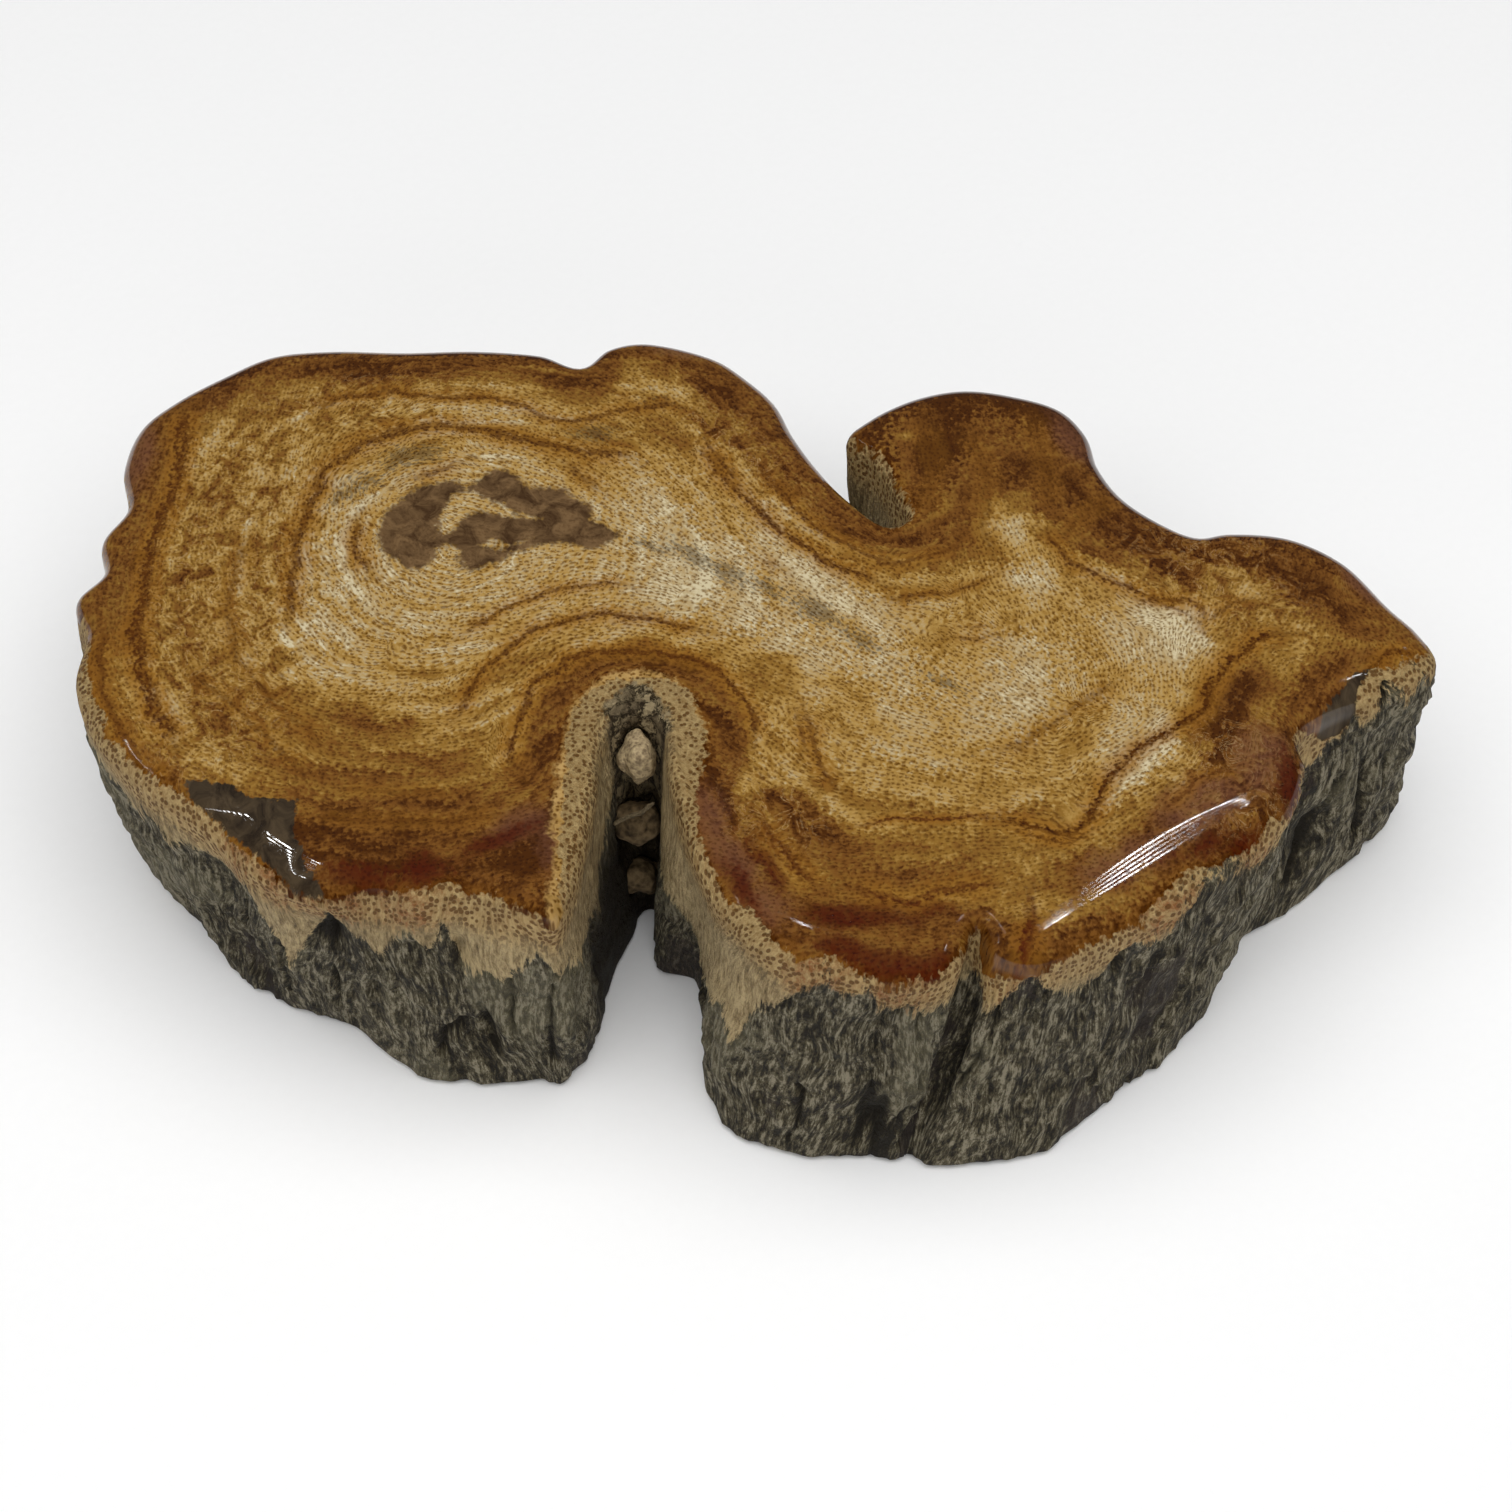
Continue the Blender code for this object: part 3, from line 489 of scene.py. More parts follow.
def ball(centre, half_axes, seed, spare, around):
    """A lump's surface along unit directions: its half-axes, dented by noise, plus spare mm."""
    dents = 1.0 + LUMP_ROUGHNESS * noise(around, 1.0 / 1.6, seed)
    return in_frame(centre) + around * (np.array(half_axes) * dents[..., None] + spare)


def clear_of_lumps(points):
    """Points of the slice inside a lump's socket, moved straight out to the socket's surface."""
    for *_, centre, half_axes, seed in LUMPS:
        away = points - in_frame(centre)
        distance = np.linalg.norm(away, axis=-1, keepdims=True)
        direction = away / np.maximum(distance, 1e-6)
        scaled = away / half_axes
        around = scaled / np.maximum(np.linalg.norm(scaled, axis=-1, keepdims=True), 1e-6)
        surface = ball(centre, half_axes, seed, LUMP_GAP, around)
        socket = np.linalg.norm(surface - in_frame(centre), axis=-1, keepdims=True)
        points = np.where(distance < socket, points + direction * (socket - distance), points)
    return points


def inside(points, loop):
    """Which plan points lie inside a closed loop, by counting the edges that a ray to +X crosses."""
    x, y = points[:, :1], points[:, 1:2]
    a, b = loop, np.roll(loop, -1, axis=0)
    spans = (a[:, 1] > y) != (b[:, 1] > y)
    rise = np.where(b[:, 1] == a[:, 1], 1e-9, b[:, 1] - a[:, 1])
    crossing = a[:, 0] + (y - a[:, 1]) * (b[:, 0] - a[:, 0]) / rise
    return np.sum(spans & (x < crossing), axis=1) % 2 == 1


def nearest_station(points, loop):
    """Each plan point's nearest loop station and the distance to it, block by block."""
    station, distance = np.zeros(len(points), int), np.zeros(len(points))
    for first in range(0, len(points), 4000):
        block = points[first:first + 4000]
        square = np.sum((block[:, None] - loop[None]) ** 2, axis=-1)
        station[first:first + 4000] = np.argmin(square, axis=1)
        distance[first:first + 4000] = np.sqrt(np.min(square, axis=1))
    return station, distance


def flat_face(loop, spacing):
    """A lattice of equal triangles inside a flat closed loop, and the faces that join it to the loop.

    The lattice's rows are 0.866 of the spacing apart, and it keeps a little clear of the loop. In the
    faces, the loop's points come before the lattice's.
    """
    low, high = loop.min(axis=0), loop.max(axis=0)
    rows = np.arange(low[1], high[1], spacing * 0.866)
    columns = np.arange(low[0], high[0], spacing)
    x, y = np.meshgrid(columns, rows)
    x = x + (np.arange(len(rows)) % 2)[:, None] * spacing * 0.5
    lattice = np.stack([x.ravel(), y.ravel()], axis=1)
    lattice = lattice[inside(lattice, loop)]
    _, distance = nearest_station(lattice, loop)
    lattice = lattice[distance > spacing * 0.55]
    points = np.vstack([loop, lattice])
    count = len(loop)
    edges = np.stack([np.arange(count), (np.arange(count) + 1) % count], axis=1)
    found = delaunay_2d_cdt(points.tolist(), edges.tolist(), [], 1, 1e-6)
    source = np.array([origin[0] for origin in found[3]])
    faces = source[np.array(found[2])]
    return lattice, faces


def ellipse_reach(plan, x, y, long, short, turn):
    """How far out plan points lie from an ellipse's centre, as a share of the way to its rim."""
    angle = np.radians(turn)
    away = (plan - (x, y)) @ np.array([[np.cos(angle), -np.sin(angle)], [np.sin(angle), np.cos(angle)]])
    return np.linalg.norm(away / (long, short), axis=1)


def ellipse_field(plan, patches):
    """How far plan points lie inside the nearest patch's edge, in mm, and below zero outside it."""
    field = np.full(len(plan), -20.0)
    for x, y, long, short, turn in patches:
        edge = (1.0 - ellipse_reach(plan, x, y, long, short, turn)) * np.sqrt(long * short)
        field = np.maximum(field, edge)
    return field


def loop_distance(plan, loop):
    """How far plan points lie inside a closed loop, in mm, and below zero outside it."""
    a, b = np.array(loop, float), np.roll(np.array(loop, float), -1, axis=0)
    closest = np.full(len(plan), 1e9)
    for start, end in zip(a, b):
        t = np.clip((plan - start) @ (end - start) / np.sum((end - start) ** 2), 0.0, 1.0)
        closest = np.minimum(closest, np.linalg.norm(plan - start - t[:, None] * (end - start), axis=1))
    return np.where(inside(plan, a), closest, -closest)


def growth_field(plan, rim):
    """How the wood grew: a dome that rises evenly inside the rim and from the heart, worked out on a grid.

    The dome's curvature is the same everywhere, apart from a bell-shaped pull at the heart, and its height
    is zero on the rim, so its level lines follow the rim near it and close round the heart. The grid's
    two colours are relaxed in turn, a little past each cell's mean so that it settles sooner.
    """
    step, sweeps, overshoot = 1.5, 600, 1.93
    pull, spread, heart_level = 14.0, 40.0, 40.0
    low, high = rim.min(axis=0) - step, rim.max(axis=0) + step
    columns, rows = np.arange(low[0], high[0], step), np.arange(low[1], high[1], step)
    x, y = np.meshgrid(columns, rows)
    cells = np.stack([x.ravel(), y.ravel()], axis=1)
    free = inside(cells, rim[::4]).reshape(x.shape)
    from_heart = (x - HEART_CENTRE[0]) ** 2 + (y - HEART_CENTRE[1]) ** 2
    source = np.ones(x.shape) + pull * np.exp(-from_heart / spread)
    dome = np.zeros(x.shape)
    odd = (np.add.outer(np.arange(len(rows)), np.arange(len(columns))) % 2).astype(bool)
    for _ in range(sweeps):
        for colour in (odd, ~odd):
            mean = np.zeros(x.shape)
            mean[1:-1, 1:-1] = (dome[2:, 1:-1] + dome[:-2, 1:-1] + dome[1:-1, 2:] + dome[1:-1, :-2]) / 4.0
            change = overshoot * (mean + source * step * step / 4.0 - dome)
            dome = np.where(free & colour, dome + change, dome)
    level = heart_level * (1.0 - np.sqrt(1.0 - dome / dome.max()))
    u = np.clip((plan[:, 0] - low[0]) / step, 0, len(columns) - 1.001)
    v = np.clip((plan[:, 1] - low[1]) / step, 0, len(rows) - 1.001)
    i, j = u.astype(int), v.astype(int)
    s, t = u - i, v - j
    upper = level[j + 1, i] * (1 - s) + level[j + 1, i + 1] * s
    return (level[j, i] * (1 - s) + level[j, i + 1] * s) * (1 - t) + upper * t


def row_direction(plan):
    """The pore rows' direction as the cosine and sine of twice the angle, weighted by nearness."""
    rows = np.array(ROW_ANGLES, float)
    double = np.radians(2.0 * rows[:, 2])
    total = np.zeros((len(plan), 2))
    for (x, y, _), c, s in zip(rows, np.cos(double), np.sin(double)):
        weight = 1.0 / (np.sum((plan - (x, y)) ** 2, axis=1) + 6.0) ** 2
        total += weight[:, None] * (c, s)
    return total / np.linalg.norm(total, axis=1, keepdims=True)


def line_layers(plan):
    """The growth lines near each point: signed distance over width, strength and hue, in a few layers.

    A line goes to the first layer where it keeps clear of the others, and its strength fades to zero
    towards its ends and away from it, so that two lines in a layer never meet.
    """
    layers = [np.tile((4.0, 0.0, 0.0), (len(plan), 1)) for _ in range(LINE_LAYERS)]
    nearest = [np.full(len(plan), 1e9) for _ in range(LINE_LAYERS)]
    taken = [[] for _ in range(LINE_LAYERS)]
    for flat, width, strength, hue in GROWTH_LINES:
        knots = np.array(flat, float).reshape(-1, 2)
        arc = np.concatenate([[0.0], np.cumsum(np.linalg.norm(np.diff(knots, axis=0), axis=1))])
        places = np.linspace(0.0, arc[-1], max(6, int(arc[-1] / 0.4)))
        dense = np.stack([np.interp(places, arc, c) for c in knots.T], axis=1)
        kernel = np.ones(5) / 5.0
        padded = np.vstack([dense[:1]] * 2 + [dense] + [dense[-1:]] * 2)
        dense = np.stack([np.convolve(c, kernel, "valid") for c in padded.T], axis=1)
        gaps = [min([np.min(np.linalg.norm(dense[:, None] - other[None], axis=-1)) for other in layer]
                    or [99.0]) for layer in taken]
        chosen = next((i for i, gap in enumerate(gaps) if gap > 2.0 * LINE_REACH), int(np.argmax(gaps)))
        taken[chosen].append(dense)
        near = np.all((plan > dense.min(axis=0) - 3.0) & (plan < dense.max(axis=0) + 3.0), axis=1)
        index = np.flatnonzero(near)
        square = np.sum((plan[index, None] - dense[None]) ** 2, axis=-1)
        place = np.argmin(square, axis=1)
        reach = np.sqrt(square[np.arange(len(index)), place])
        tangent = np.gradient(dense, axis=0)[place]
        tangent /= np.linalg.norm(tangent, axis=1, keepdims=True)
        away = plan[index] - dense[place]
        side = tangent[:, 0] * away[:, 1] - tangent[:, 1] * away[:, 0]
        ends = np.minimum(places[place], arc[-1] - places[place])
        short = min(2.5, arc[-1] * 0.4)
        power = strength * (0.25 + 0.75 * step_up(ends, 0.0, short))
        power = power * (1.0 - step_up(reach, 1.5, LINE_REACH))
        better = (reach < nearest[chosen][index]) & (power > 0)
        index, side, power, reach = index[better], side[better], power[better], reach[better]
        nearest[chosen][index] = reach
        layers[chosen][index] = np.stack([side / width, power, np.full(len(index), hue)], axis=1)
    return layers


def tone_field(plan, depth, along, length):
    """The wood's tone from 0, dark brown, to 1, pale cream.

    Soft pools of tone lie on an even ground, then come the brown band inside the rim and the dark ring
    round the halo.
    """
    solid = np.hstack([plan, np.zeros((len(plan), 1))])
    wander = noise(solid, 7.0, 3.0) + 0.5 * noise(solid, 3.0, 9.0)
    tone = np.full(len(plan), 0.56)
    for x, y, long, short, turn, target, amount in POOLS:
        reach = ellipse_reach(plan, x, y, long, short, turn) + 0.10 * wander
        cover = amount * (1.0 - step_up(reach, 0.6, 1.25))
        tone = tone * (1.0 - cover) + target * cover
    width = read_along(RIM_BAND, along, length, 1)
    brown = read_along(RIM_BAND, along, length, 2)
    cover = 1.0 - step_up(depth + 1.4 * wander, 0.55 * width, 1.1 * width)
    tone = tone * (1.0 - cover) + brown * cover
    ring = -loop_distance(plan, HALO)
    cover = 0.9 * (1.0 - step_up(np.abs(ring - 2.0 + 0.7 * wander), 1.2, 3.0)) * (plan[:, 1] < 6)
    return tone * (1.0 - cover) + 0.17 * cover


def ring_faces(rings, around):
    """Four-sided faces between rings of points that close on themselves, each ring below the last."""
    here = np.arange(rings - 1)[:, None] * around + np.arange(around)
    beside = np.roll(here, -1, axis=1)
    return np.stack([here, here + around, beside + around, beside], axis=-1).reshape(-1, 4)


def tip_faces(tip, first, around):
    """Triangles between a tip and the ring of points that starts at first."""
    here = first + np.arange(around)
    return np.stack([np.full(around, tip), here, np.roll(here, -1)], axis=1)


def side_rings(stations, rim, normal):
    """The rounding and the wall before their relief, as rings of places from the top face to the foot.

    A place is a function of two parameters, the station along the rim and the turn or the way down: a
    quarter ellipse from the top face down to the rim, then a straight line from the rim to the foot.
    With the rings come how far in from the rim each place lies, below zero down the wall, and each
    ring's way down the wall, from 0 to 1.
    """
    width = eased(stations[:, 4:])
    drop = 2.0 + 0.28 * width
    turn = np.linspace(0.0, np.pi / 2, BEVEL_STEPS, endpoint=False)[:, None, None]
    bevel_plan = rim - normal * width * (1.0 - np.sin(turn))
    bevel = np.concatenate([bevel_plan, THICKNESS - drop * (1.0 - np.cos(turn))], axis=-1)
    bevel_in = width * (1.0 - np.sin(turn))

    down = np.linspace(0.0, 1.0, WALL_STEPS + 1)[:, None, None]
    foot = rim + stations[:, 2:4]
    wall_height = (THICKNESS - drop) * (1.0 - down) + FOOT_CHIP * down
    wall = np.concatenate([rim + (foot - rim) * down, wall_height], axis=-1)
    wall_in = wall_height - (THICKNESS - drop)

    inward = np.concatenate([bevel_in, wall_in])[..., 0]
    down = np.concatenate([np.zeros((BEVEL_STEPS, 1)), down[..., 0]])
    return np.concatenate([bevel, wall]), inward, down


def add_relief(rows, stem, normal, width, bark_in, down, sizes):
    """Pushes the wall in and out along its normals, and returns its hollows' and its pits' depths, in mm.

    Everywhere there are broad upright folds, calmer where the rounding is narrow. The bark adds upright
    strands and threads, crumbs, plates that stand over bare patches, and slits. Pits and cracks sink the
    wall. The folds fade in below the rim, and all of it is eased near the foot.
    """
    calm = np.clip((width - 0.6) / 2.4, 0.2, 1.0)
    fade = np.minimum(1.0, 4.0 * down)
    folds = noise(stem, (6.5, 6.5, 34.0), 40.0)
    relief = (sizes.fold_depth * folds + 0.4 * noise(rows, (4.0, 4.0, 7.0), 44.0)) * calm * fade

    bark = 1.0 - step_up(bark_in, -0.6, 0.6)
    rough = np.sqrt(calm) * bark
    strands = 1.0 - 2.2 * np.abs(noise(stem, (1.9, 1.9, 11.0), 50.0))
    threads = noise(stem, (1.05, 1.05, 4.6), 60.0)
    crumbs = noise(rows, (1.3, 1.3, 1.5), 80.0) + 0.5 * noise(rows, (2.6, 2.6, 2.2), 85.0)
    areas = weathering(stem)
    plates = step_up(areas, -0.42, -0.30) + 0.6 * step_up(areas, 0.34, 0.48)
    slits = 1.0 - step_up(np.abs(noise(stem, (4.6, 4.6, 24.0), 120.0)), 0.02, 0.10)
    slits = slits * step_up(noise(stem, (8.0, 8.0, 9.0), 130.0), 0.05, 0.2)
    relief += rough * (sizes.strand_depth * strands + sizes.thread_depth * threads
                       + sizes.crumb_depth * crumbs - sizes.bark_setback)
    relief += rough * (sizes.plate_depth * (plates - 1.0) - sizes.slit_depth * slits)
    relief += (1.0 - bark) * fade * (0.16 * noise(stem, (1.2, 1.2, 5.0), 90.0) + 0.12 * strands)

    wells = (pit_depth(rows) + crack_depth(rows)) * fade
    relief = (relief - wells) * (1.0 - 0.55 * step_up(down, 0.8, 1.0))
    rows[..., :2] += normal * relief[..., None]
    rows[..., 2] += rough * fade * 0.12 * noise(rows, 1.6, 15.0) * (rows[..., 2] > 2.0)
    # The first depths returned also set where the material paints shade into the hollows.
    return wells + rough * (0.45 * (1.0 - strands) - 0.2 * folds + 2.2 * slits), wells


def slice_surface(sizes):
    """The slice as points, faces and the values that its material reads.

    Its side is rings of places with the bark's relief, and flat faces fill the first and the last ring.
    """
    stations, length = closed_curve(OUTLINE, STATIONS)
    rim = stations[:, :2] - PLAN_CENTRE
    normal = outward(rim)
    along = np.arange(STATIONS) * length / STATIONS
    rows, inward, down = side_rings(stations, rim, normal)
    bevel_plan = rows[:BEVEL_STEPS, :, :2].copy()

    # The bark's patterns run down the wall: they read the place on the rim above, swayed a little.
    stem = np.concatenate([np.broadcast_to(rim, rows.shape[:2] + (2,)), rows[..., 2:]], axis=-1)
    stem[:BEVEL_STEPS, :, :2] = bevel_plan
    tangent = np.stack([-normal[:, 1], normal[:, 0]], axis=1)
    sway = 1.5 * noise(stem, (9.0, 9.0, 12.0), 70.0) + 0.6 * noise(stem, (4.0, 4.0, 4.5), 75.0)
    stem[..., :2] += tangent * sway[..., None]

    ragged = 1.6 * noise(stem, (1.7, 1.7, 8.0), 21.0) + 0.9 * noise(stem, (0.8, 0.8, 4.0), 33.0)
    bark_in = inward - read_along(BARK_EDGE, along, length) + ragged
    polish_in = inward - read_along(POLISH_EDGE, along, length) + fringe(rows)
    hollow, wells = add_relief(rows, stem, normal, stations[:, 4], bark_in, down, sizes)
    rows = clear_of_lumps(rows)

    # The last ring is the underside's edge, in from the foot by the chipped corner.
    under = eased(rows[-1] - np.hstack([normal * FOOT_CHIP, np.zeros((STATIONS, 1))]), 4)
    under[:, 2] = 0.0
    rows = np.concatenate([rows, under[None]])
    hollow = np.concatenate([hollow, wells[-1:]])
    inward, stem, bark_in, polish_in = (np.concatenate([ring, ring[-1:]])
                                        for ring in (inward, stem, bark_in, polish_in))

    count = len(rows)
    top, top_faces = flat_face(rows[0, :, :2], TOP_SPACING)
    base, base_faces = flat_face(rows[-1, :, :2], UNDERSIDE_SPACING)
    last_ring, first_top = (count - 1) * STATIONS, count * STATIONS
    first_base = first_top + len(top)
    top_faces = top_faces + np.where(top_faces < STATIONS, 0, first_top - STATIONS)
    base_faces = base_faces + np.where(base_faces < STATIONS, last_ring, first_base - STATIONS)
    faces = [ring_faces(count, STATIONS), top_faces, base_faces[:, ::-1]]

    def everywhere(side, above, below):
        """A value for every point: the side's rings, then the top's, then the underside's."""
        return np.concatenate([side.ravel(), np.broadcast_to(above, len(top)),
                               np.broadcast_to(below, len(base))])

    station, depth = nearest_station(top, rim)
    top = np.hstack([top, np.full((len(top), 1), THICKNESS)])
    base = np.hstack([base, np.zeros((len(base), 1))])
    plan = np.vstack([np.broadcast_to(rim, (count,) + rim.shape).reshape(-1, 2), top[:, :2], base[:, :2]])
    plan[:BEVEL_STEPS * STATIONS] = bevel_plan.reshape(-1, 2)
    solid = np.hstack([plan, np.zeros((len(plan), 1))])
    sway = np.stack([0.55 * noise(solid, 2.6, seed) + 0.25 * noise(solid, 1.2, seed)
                     for seed in (101.0, 151.0)], axis=1)
    swayed = plan + sway
    top_along = along[station]
    double_cos, double_sin = row_direction(plan).T
    fields = {
        "polish": everywhere(polish_in, depth - read_along(POLISH_EDGE, top_along, length) + fringe(top),
                             NEVER),
        "bark": everywhere(bark_in, depth - read_along(BARK_EDGE, top_along, length), NEVER),
        "halo": loop_distance(swayed, HALO),
        "double_cos": double_cos,
        "double_sin": double_sin,
        "growth": growth_field(swayed, rim),
        "tone": tone_field(swayed, everywhere(np.maximum(inward, 0.0), depth, 0.0),
                           everywhere(np.tile(along, count), top_along, 0.0), length),
        "burl": ellipse_field(swayed, BURL),
        "matrix": loop_distance(swayed, MATRIX_EDGE),
        "hollow": everywhere(hollow, 0.0, 0.0),
        "soil": everywhere(cleft_soil_and_shade(rows, along, inward), 0.0, 0.0),
        "areas": everywhere(weathering(stem), 0.0, 0.0),
        "heart": heart_field(swayed),
        "grey": grey_field(swayed),
        "chalcedony": np.maximum(loop_distance(plan + 0.4 * sway, CHALCEDONY_EDGE),
                                 loop_distance(plan + 0.4 * sway, DARK_PATCH_EDGE)),
        "maroon": ellipse_field(swayed, MAROON),
        "mauve": ellipse_field(swayed, MAUVE),
        "rust": ellipse_field(swayed, RUST),
    }
    values = {name: np.stack([fields[part] for part in parts], axis=1) for name, parts in FIELDS.items()}
    for number, layer in enumerate(line_layers(plan + 0.8 * sway)):
        values[f"lines_{number}"] = layer

    # The rock in the cleft's end takes no polish, so it lies a little below the top face.
    rock = step_up(fields["matrix"][first_top:first_base], 0.0, 0.8)
    top[:, 2] -= rock * (0.35 + 0.3 * noise(top, 1.1, 7.0))
    values["stem"] = np.vstack([stem.reshape(-1, 3), top, base])
    return np.vstack([rows.reshape(-1, 3), top, base]), faces, values


def fringe(points):
    """How far the end of the polish wanders, in mm: noise of 2.2 mm and 0.9 mm."""
    return 0.55 * noise(points, 2.2, 12.0) + 0.3 * noise(points, 0.9, 5.0)


def weathering(stem):
    """Paler and darker areas of the bark, from about -1 to 1: noise of 9 mm and 3.5 mm, drawn out down."""
    return noise(stem, (9.0, 9.0, 18.0), 25.0) + 0.6 * noise(stem, (3.5, 3.5, 9.0), 35.0)


def heart_field(plan):
    """How far points lie inside the dark heart, widened a little, and outside the cream streaks in it."""
    wider = 0.35
    field = loop_distance(plan, HEART_EDGE) + wider
    for streak in HEART_CREAM:
        field = np.minimum(field, wider - loop_distance(plan, streak))
    return field


def grey_field(plan):
    """How far points lie inside the grey wood: its outlined patches and its soft ones."""
    wider = 0.4
    outlined = [loop_distance(plan, edge) + wider for edge in GREY_EDGES]
    return np.maximum.reduce([*outlined, ellipse_field(plan, GREY_WOOD)])


def cleft_soil_and_shade(rows, along, inward):
    """How much the wall darkens with soil and painted shade: more with depth, in the cleft only."""
    in_cleft = step_up(along, 82.0, 90.0) * (1.0 - step_up(along, 105.0, 116.0))
    down = np.maximum(-inward, 0.0) + 2.0 * noise(rows, 4.0, 31.0)
    return in_cleft * step_up(down, 4.0, 17.0)


def lump_surface(centre, half_axes, seed):
    """A pebble or clod: a ball over longitude and latitude, dented by noise, with small crumbs."""
    across, down = 96, 48
    longitude = np.linspace(0.0, 2.0 * np.pi, across, endpoint=False)[None]
    latitude = (np.linspace(0.0, np.pi, down + 1))[1:-1, None]
    around = np.stack([np.sin(latitude) * np.cos(longitude), np.sin(latitude) * np.sin(longitude),
                       np.broadcast_to(np.cos(latitude), (down - 1, across))], axis=-1).reshape(-1, 3)
    tip = len(around)
    around = np.vstack([around, (0.0, 0.0, 1.0), (0.0, 0.0, -1.0)])
    points = ball(centre, half_axes, seed, 0.0, around)
    crumb = 0.16 * noise(points, 0.9, seed) + 0.07 * noise(points, 0.4, seed)
    points = points + around * (crumb - 0.12)[:, None]
    return points, [ring_faces(down - 1, across), tip_faces(tip, 0, across),
                    tip_faces(tip + 1, tip - across, across)[:, ::-1]]


def rootlet_surface(radius):
    """A rootlet: a round profile carried along its route, thicker at knots and tapered to its tips."""
    count, sides = 60, 20
    line = filled_in(in_frame(ROOTLET_ROUTE), count)
    for _ in range(6):
        line[1:-1] = (line[:-2] + line[1:-1] * 2.0 + line[2:]) / 4.0
    line[1:-1] += 0.08 * np.stack([noise(line, 1.1, s) for s in (1.0, 2.0, 3.0)], axis=1)[1:-1]
    tangent = np.gradient(line, axis=0)
    tangent /= np.linalg.norm(tangent, axis=1, keepdims=True)
    side = np.cross(tangent, (0.0, 0.0, 1.0))
    side /= np.linalg.norm(side, axis=1, keepdims=True)
    over = np.cross(side, tangent)
    angle = np.linspace(0.0, 2.0 * np.pi, sides, endpoint=False)[None, :, None]
    u = np.linspace(0.0, 1.0, count)[:, None, None]
    thick = radius * (0.45 + 0.55 * np.sqrt(np.maximum(1.0 - (2.0 * u - 1.0) ** 2, 0.0)) ** 0.5)
    thick = thick * (1.0 + 0.12 * np.sin(3.0 * angle + 9.0 * u) + 0.12 * np.sin(31.0 * u))
    rows = line[:, None] + thick * (np.cos(angle) * side[:, None] + np.sin(angle) * over[:, None])
    tip = count * sides
    return np.vstack([rows.reshape(-1, 3), line[:1], line[-1:]]), [
        ring_faces(count, sides)[:, ::-1], tip_faces(tip, 0, sides)[:, ::-1],
        tip_faces(tip + 1, tip - sides, sides)]


def make_piece(name, points, faces, material, values=None):
    """A new smooth object from points in mm and blocks of faces, with its material and its values."""
    mesh = bpy.data.meshes.new(name)
    corners = np.concatenate([block.ravel() for block in faces]).astype(np.int32)
    sizes = np.concatenate([np.full(len(block), block.shape[1]) for block in faces])
    starts = np.concatenate([[0], np.cumsum(sizes)[:-1]]).astype(np.int32)
    mesh.vertices.add(len(points))
    mesh.vertices.foreach_set("co", (points * MM).astype(np.float32).ravel())
    mesh.loops.add(len(corners))
    mesh.loops.foreach_set("vertex_index", corners)
    mesh.polygons.add(len(sizes))
    mesh.polygons.foreach_set("loop_start", starts)
    mesh.update(calc_edges=True)
    for label, array in (values or {}).items():
        held = mesh.attributes.new(label, "FLOAT_VECTOR", "POINT")
        held.data.foreach_set("vector", array.astype(np.float32).ravel())
    mesh.polygons.foreach_set("use_smooth", np.ones(len(sizes), bool))
    if mesh.validate(verbose=False):
        raise RuntimeError(f"{name}: the mesh has faces that Blender had to repair")
    mesh.materials.append(material)
    piece = bpy.data.objects.new(name, mesh)
    bpy.context.scene.collection.objects.link(piece)
    return piece


# Materials.


def add(tree, kind, inputs=(), **settings):
    """Adds a node with its settings, and fills its inputs, by place or name, with values or links.

    A node given as an input stands for its first output in use, and a colour of three numbers is opaque.
    """
    made = tree.nodes.new("ShaderNode" + kind)
    for name, value in settings.items():
        setattr(made, name, value)
    live = [socket for socket in made.inputs if socket.enabled]
    pairs = inputs.items() if isinstance(inputs, dict) else enumerate(inputs)
    for key, value in pairs:
        socket = live[key] if isinstance(key, int) else next(s for s in live if s.name == key)
        if isinstance(value, bpy.types.Node):
            value = next(out for out in value.outputs if out.enabled)
        if isinstance(value, bpy.types.NodeSocket):
            tree.links.new(value, socket)
        elif socket.type == "RGBA":
            socket.default_value = (*tuple(value)[:3], 1.0)
        else:
            socket.default_value = value
    return made


def set_ramp(ramp, stops):
    """Puts the stops, each a place and a colour, into a colour ramp."""
    while len(ramp.elements) < len(stops):
        ramp.elements.new(0.5)
    for element, (where, colour) in zip(ramp.elements, stops):
        element.position = where
        element.color = (*colour, 1.0)


def new_material(name):
    """An empty material with its tree, its shader and the place on the object in millimetres."""
    material = bpy.data.materials.new(name)
    material.use_nodes = True
    tree = material.node_tree
    shader = tree.nodes["Principled BSDF"]
    place = add(tree, "TexCoord").outputs["Object"]
    mm = add(tree, "VectorMath", (place, (1000.0, 1000.0, 1000.0)), operation="MULTIPLY")
    return material, tree, shader, mm


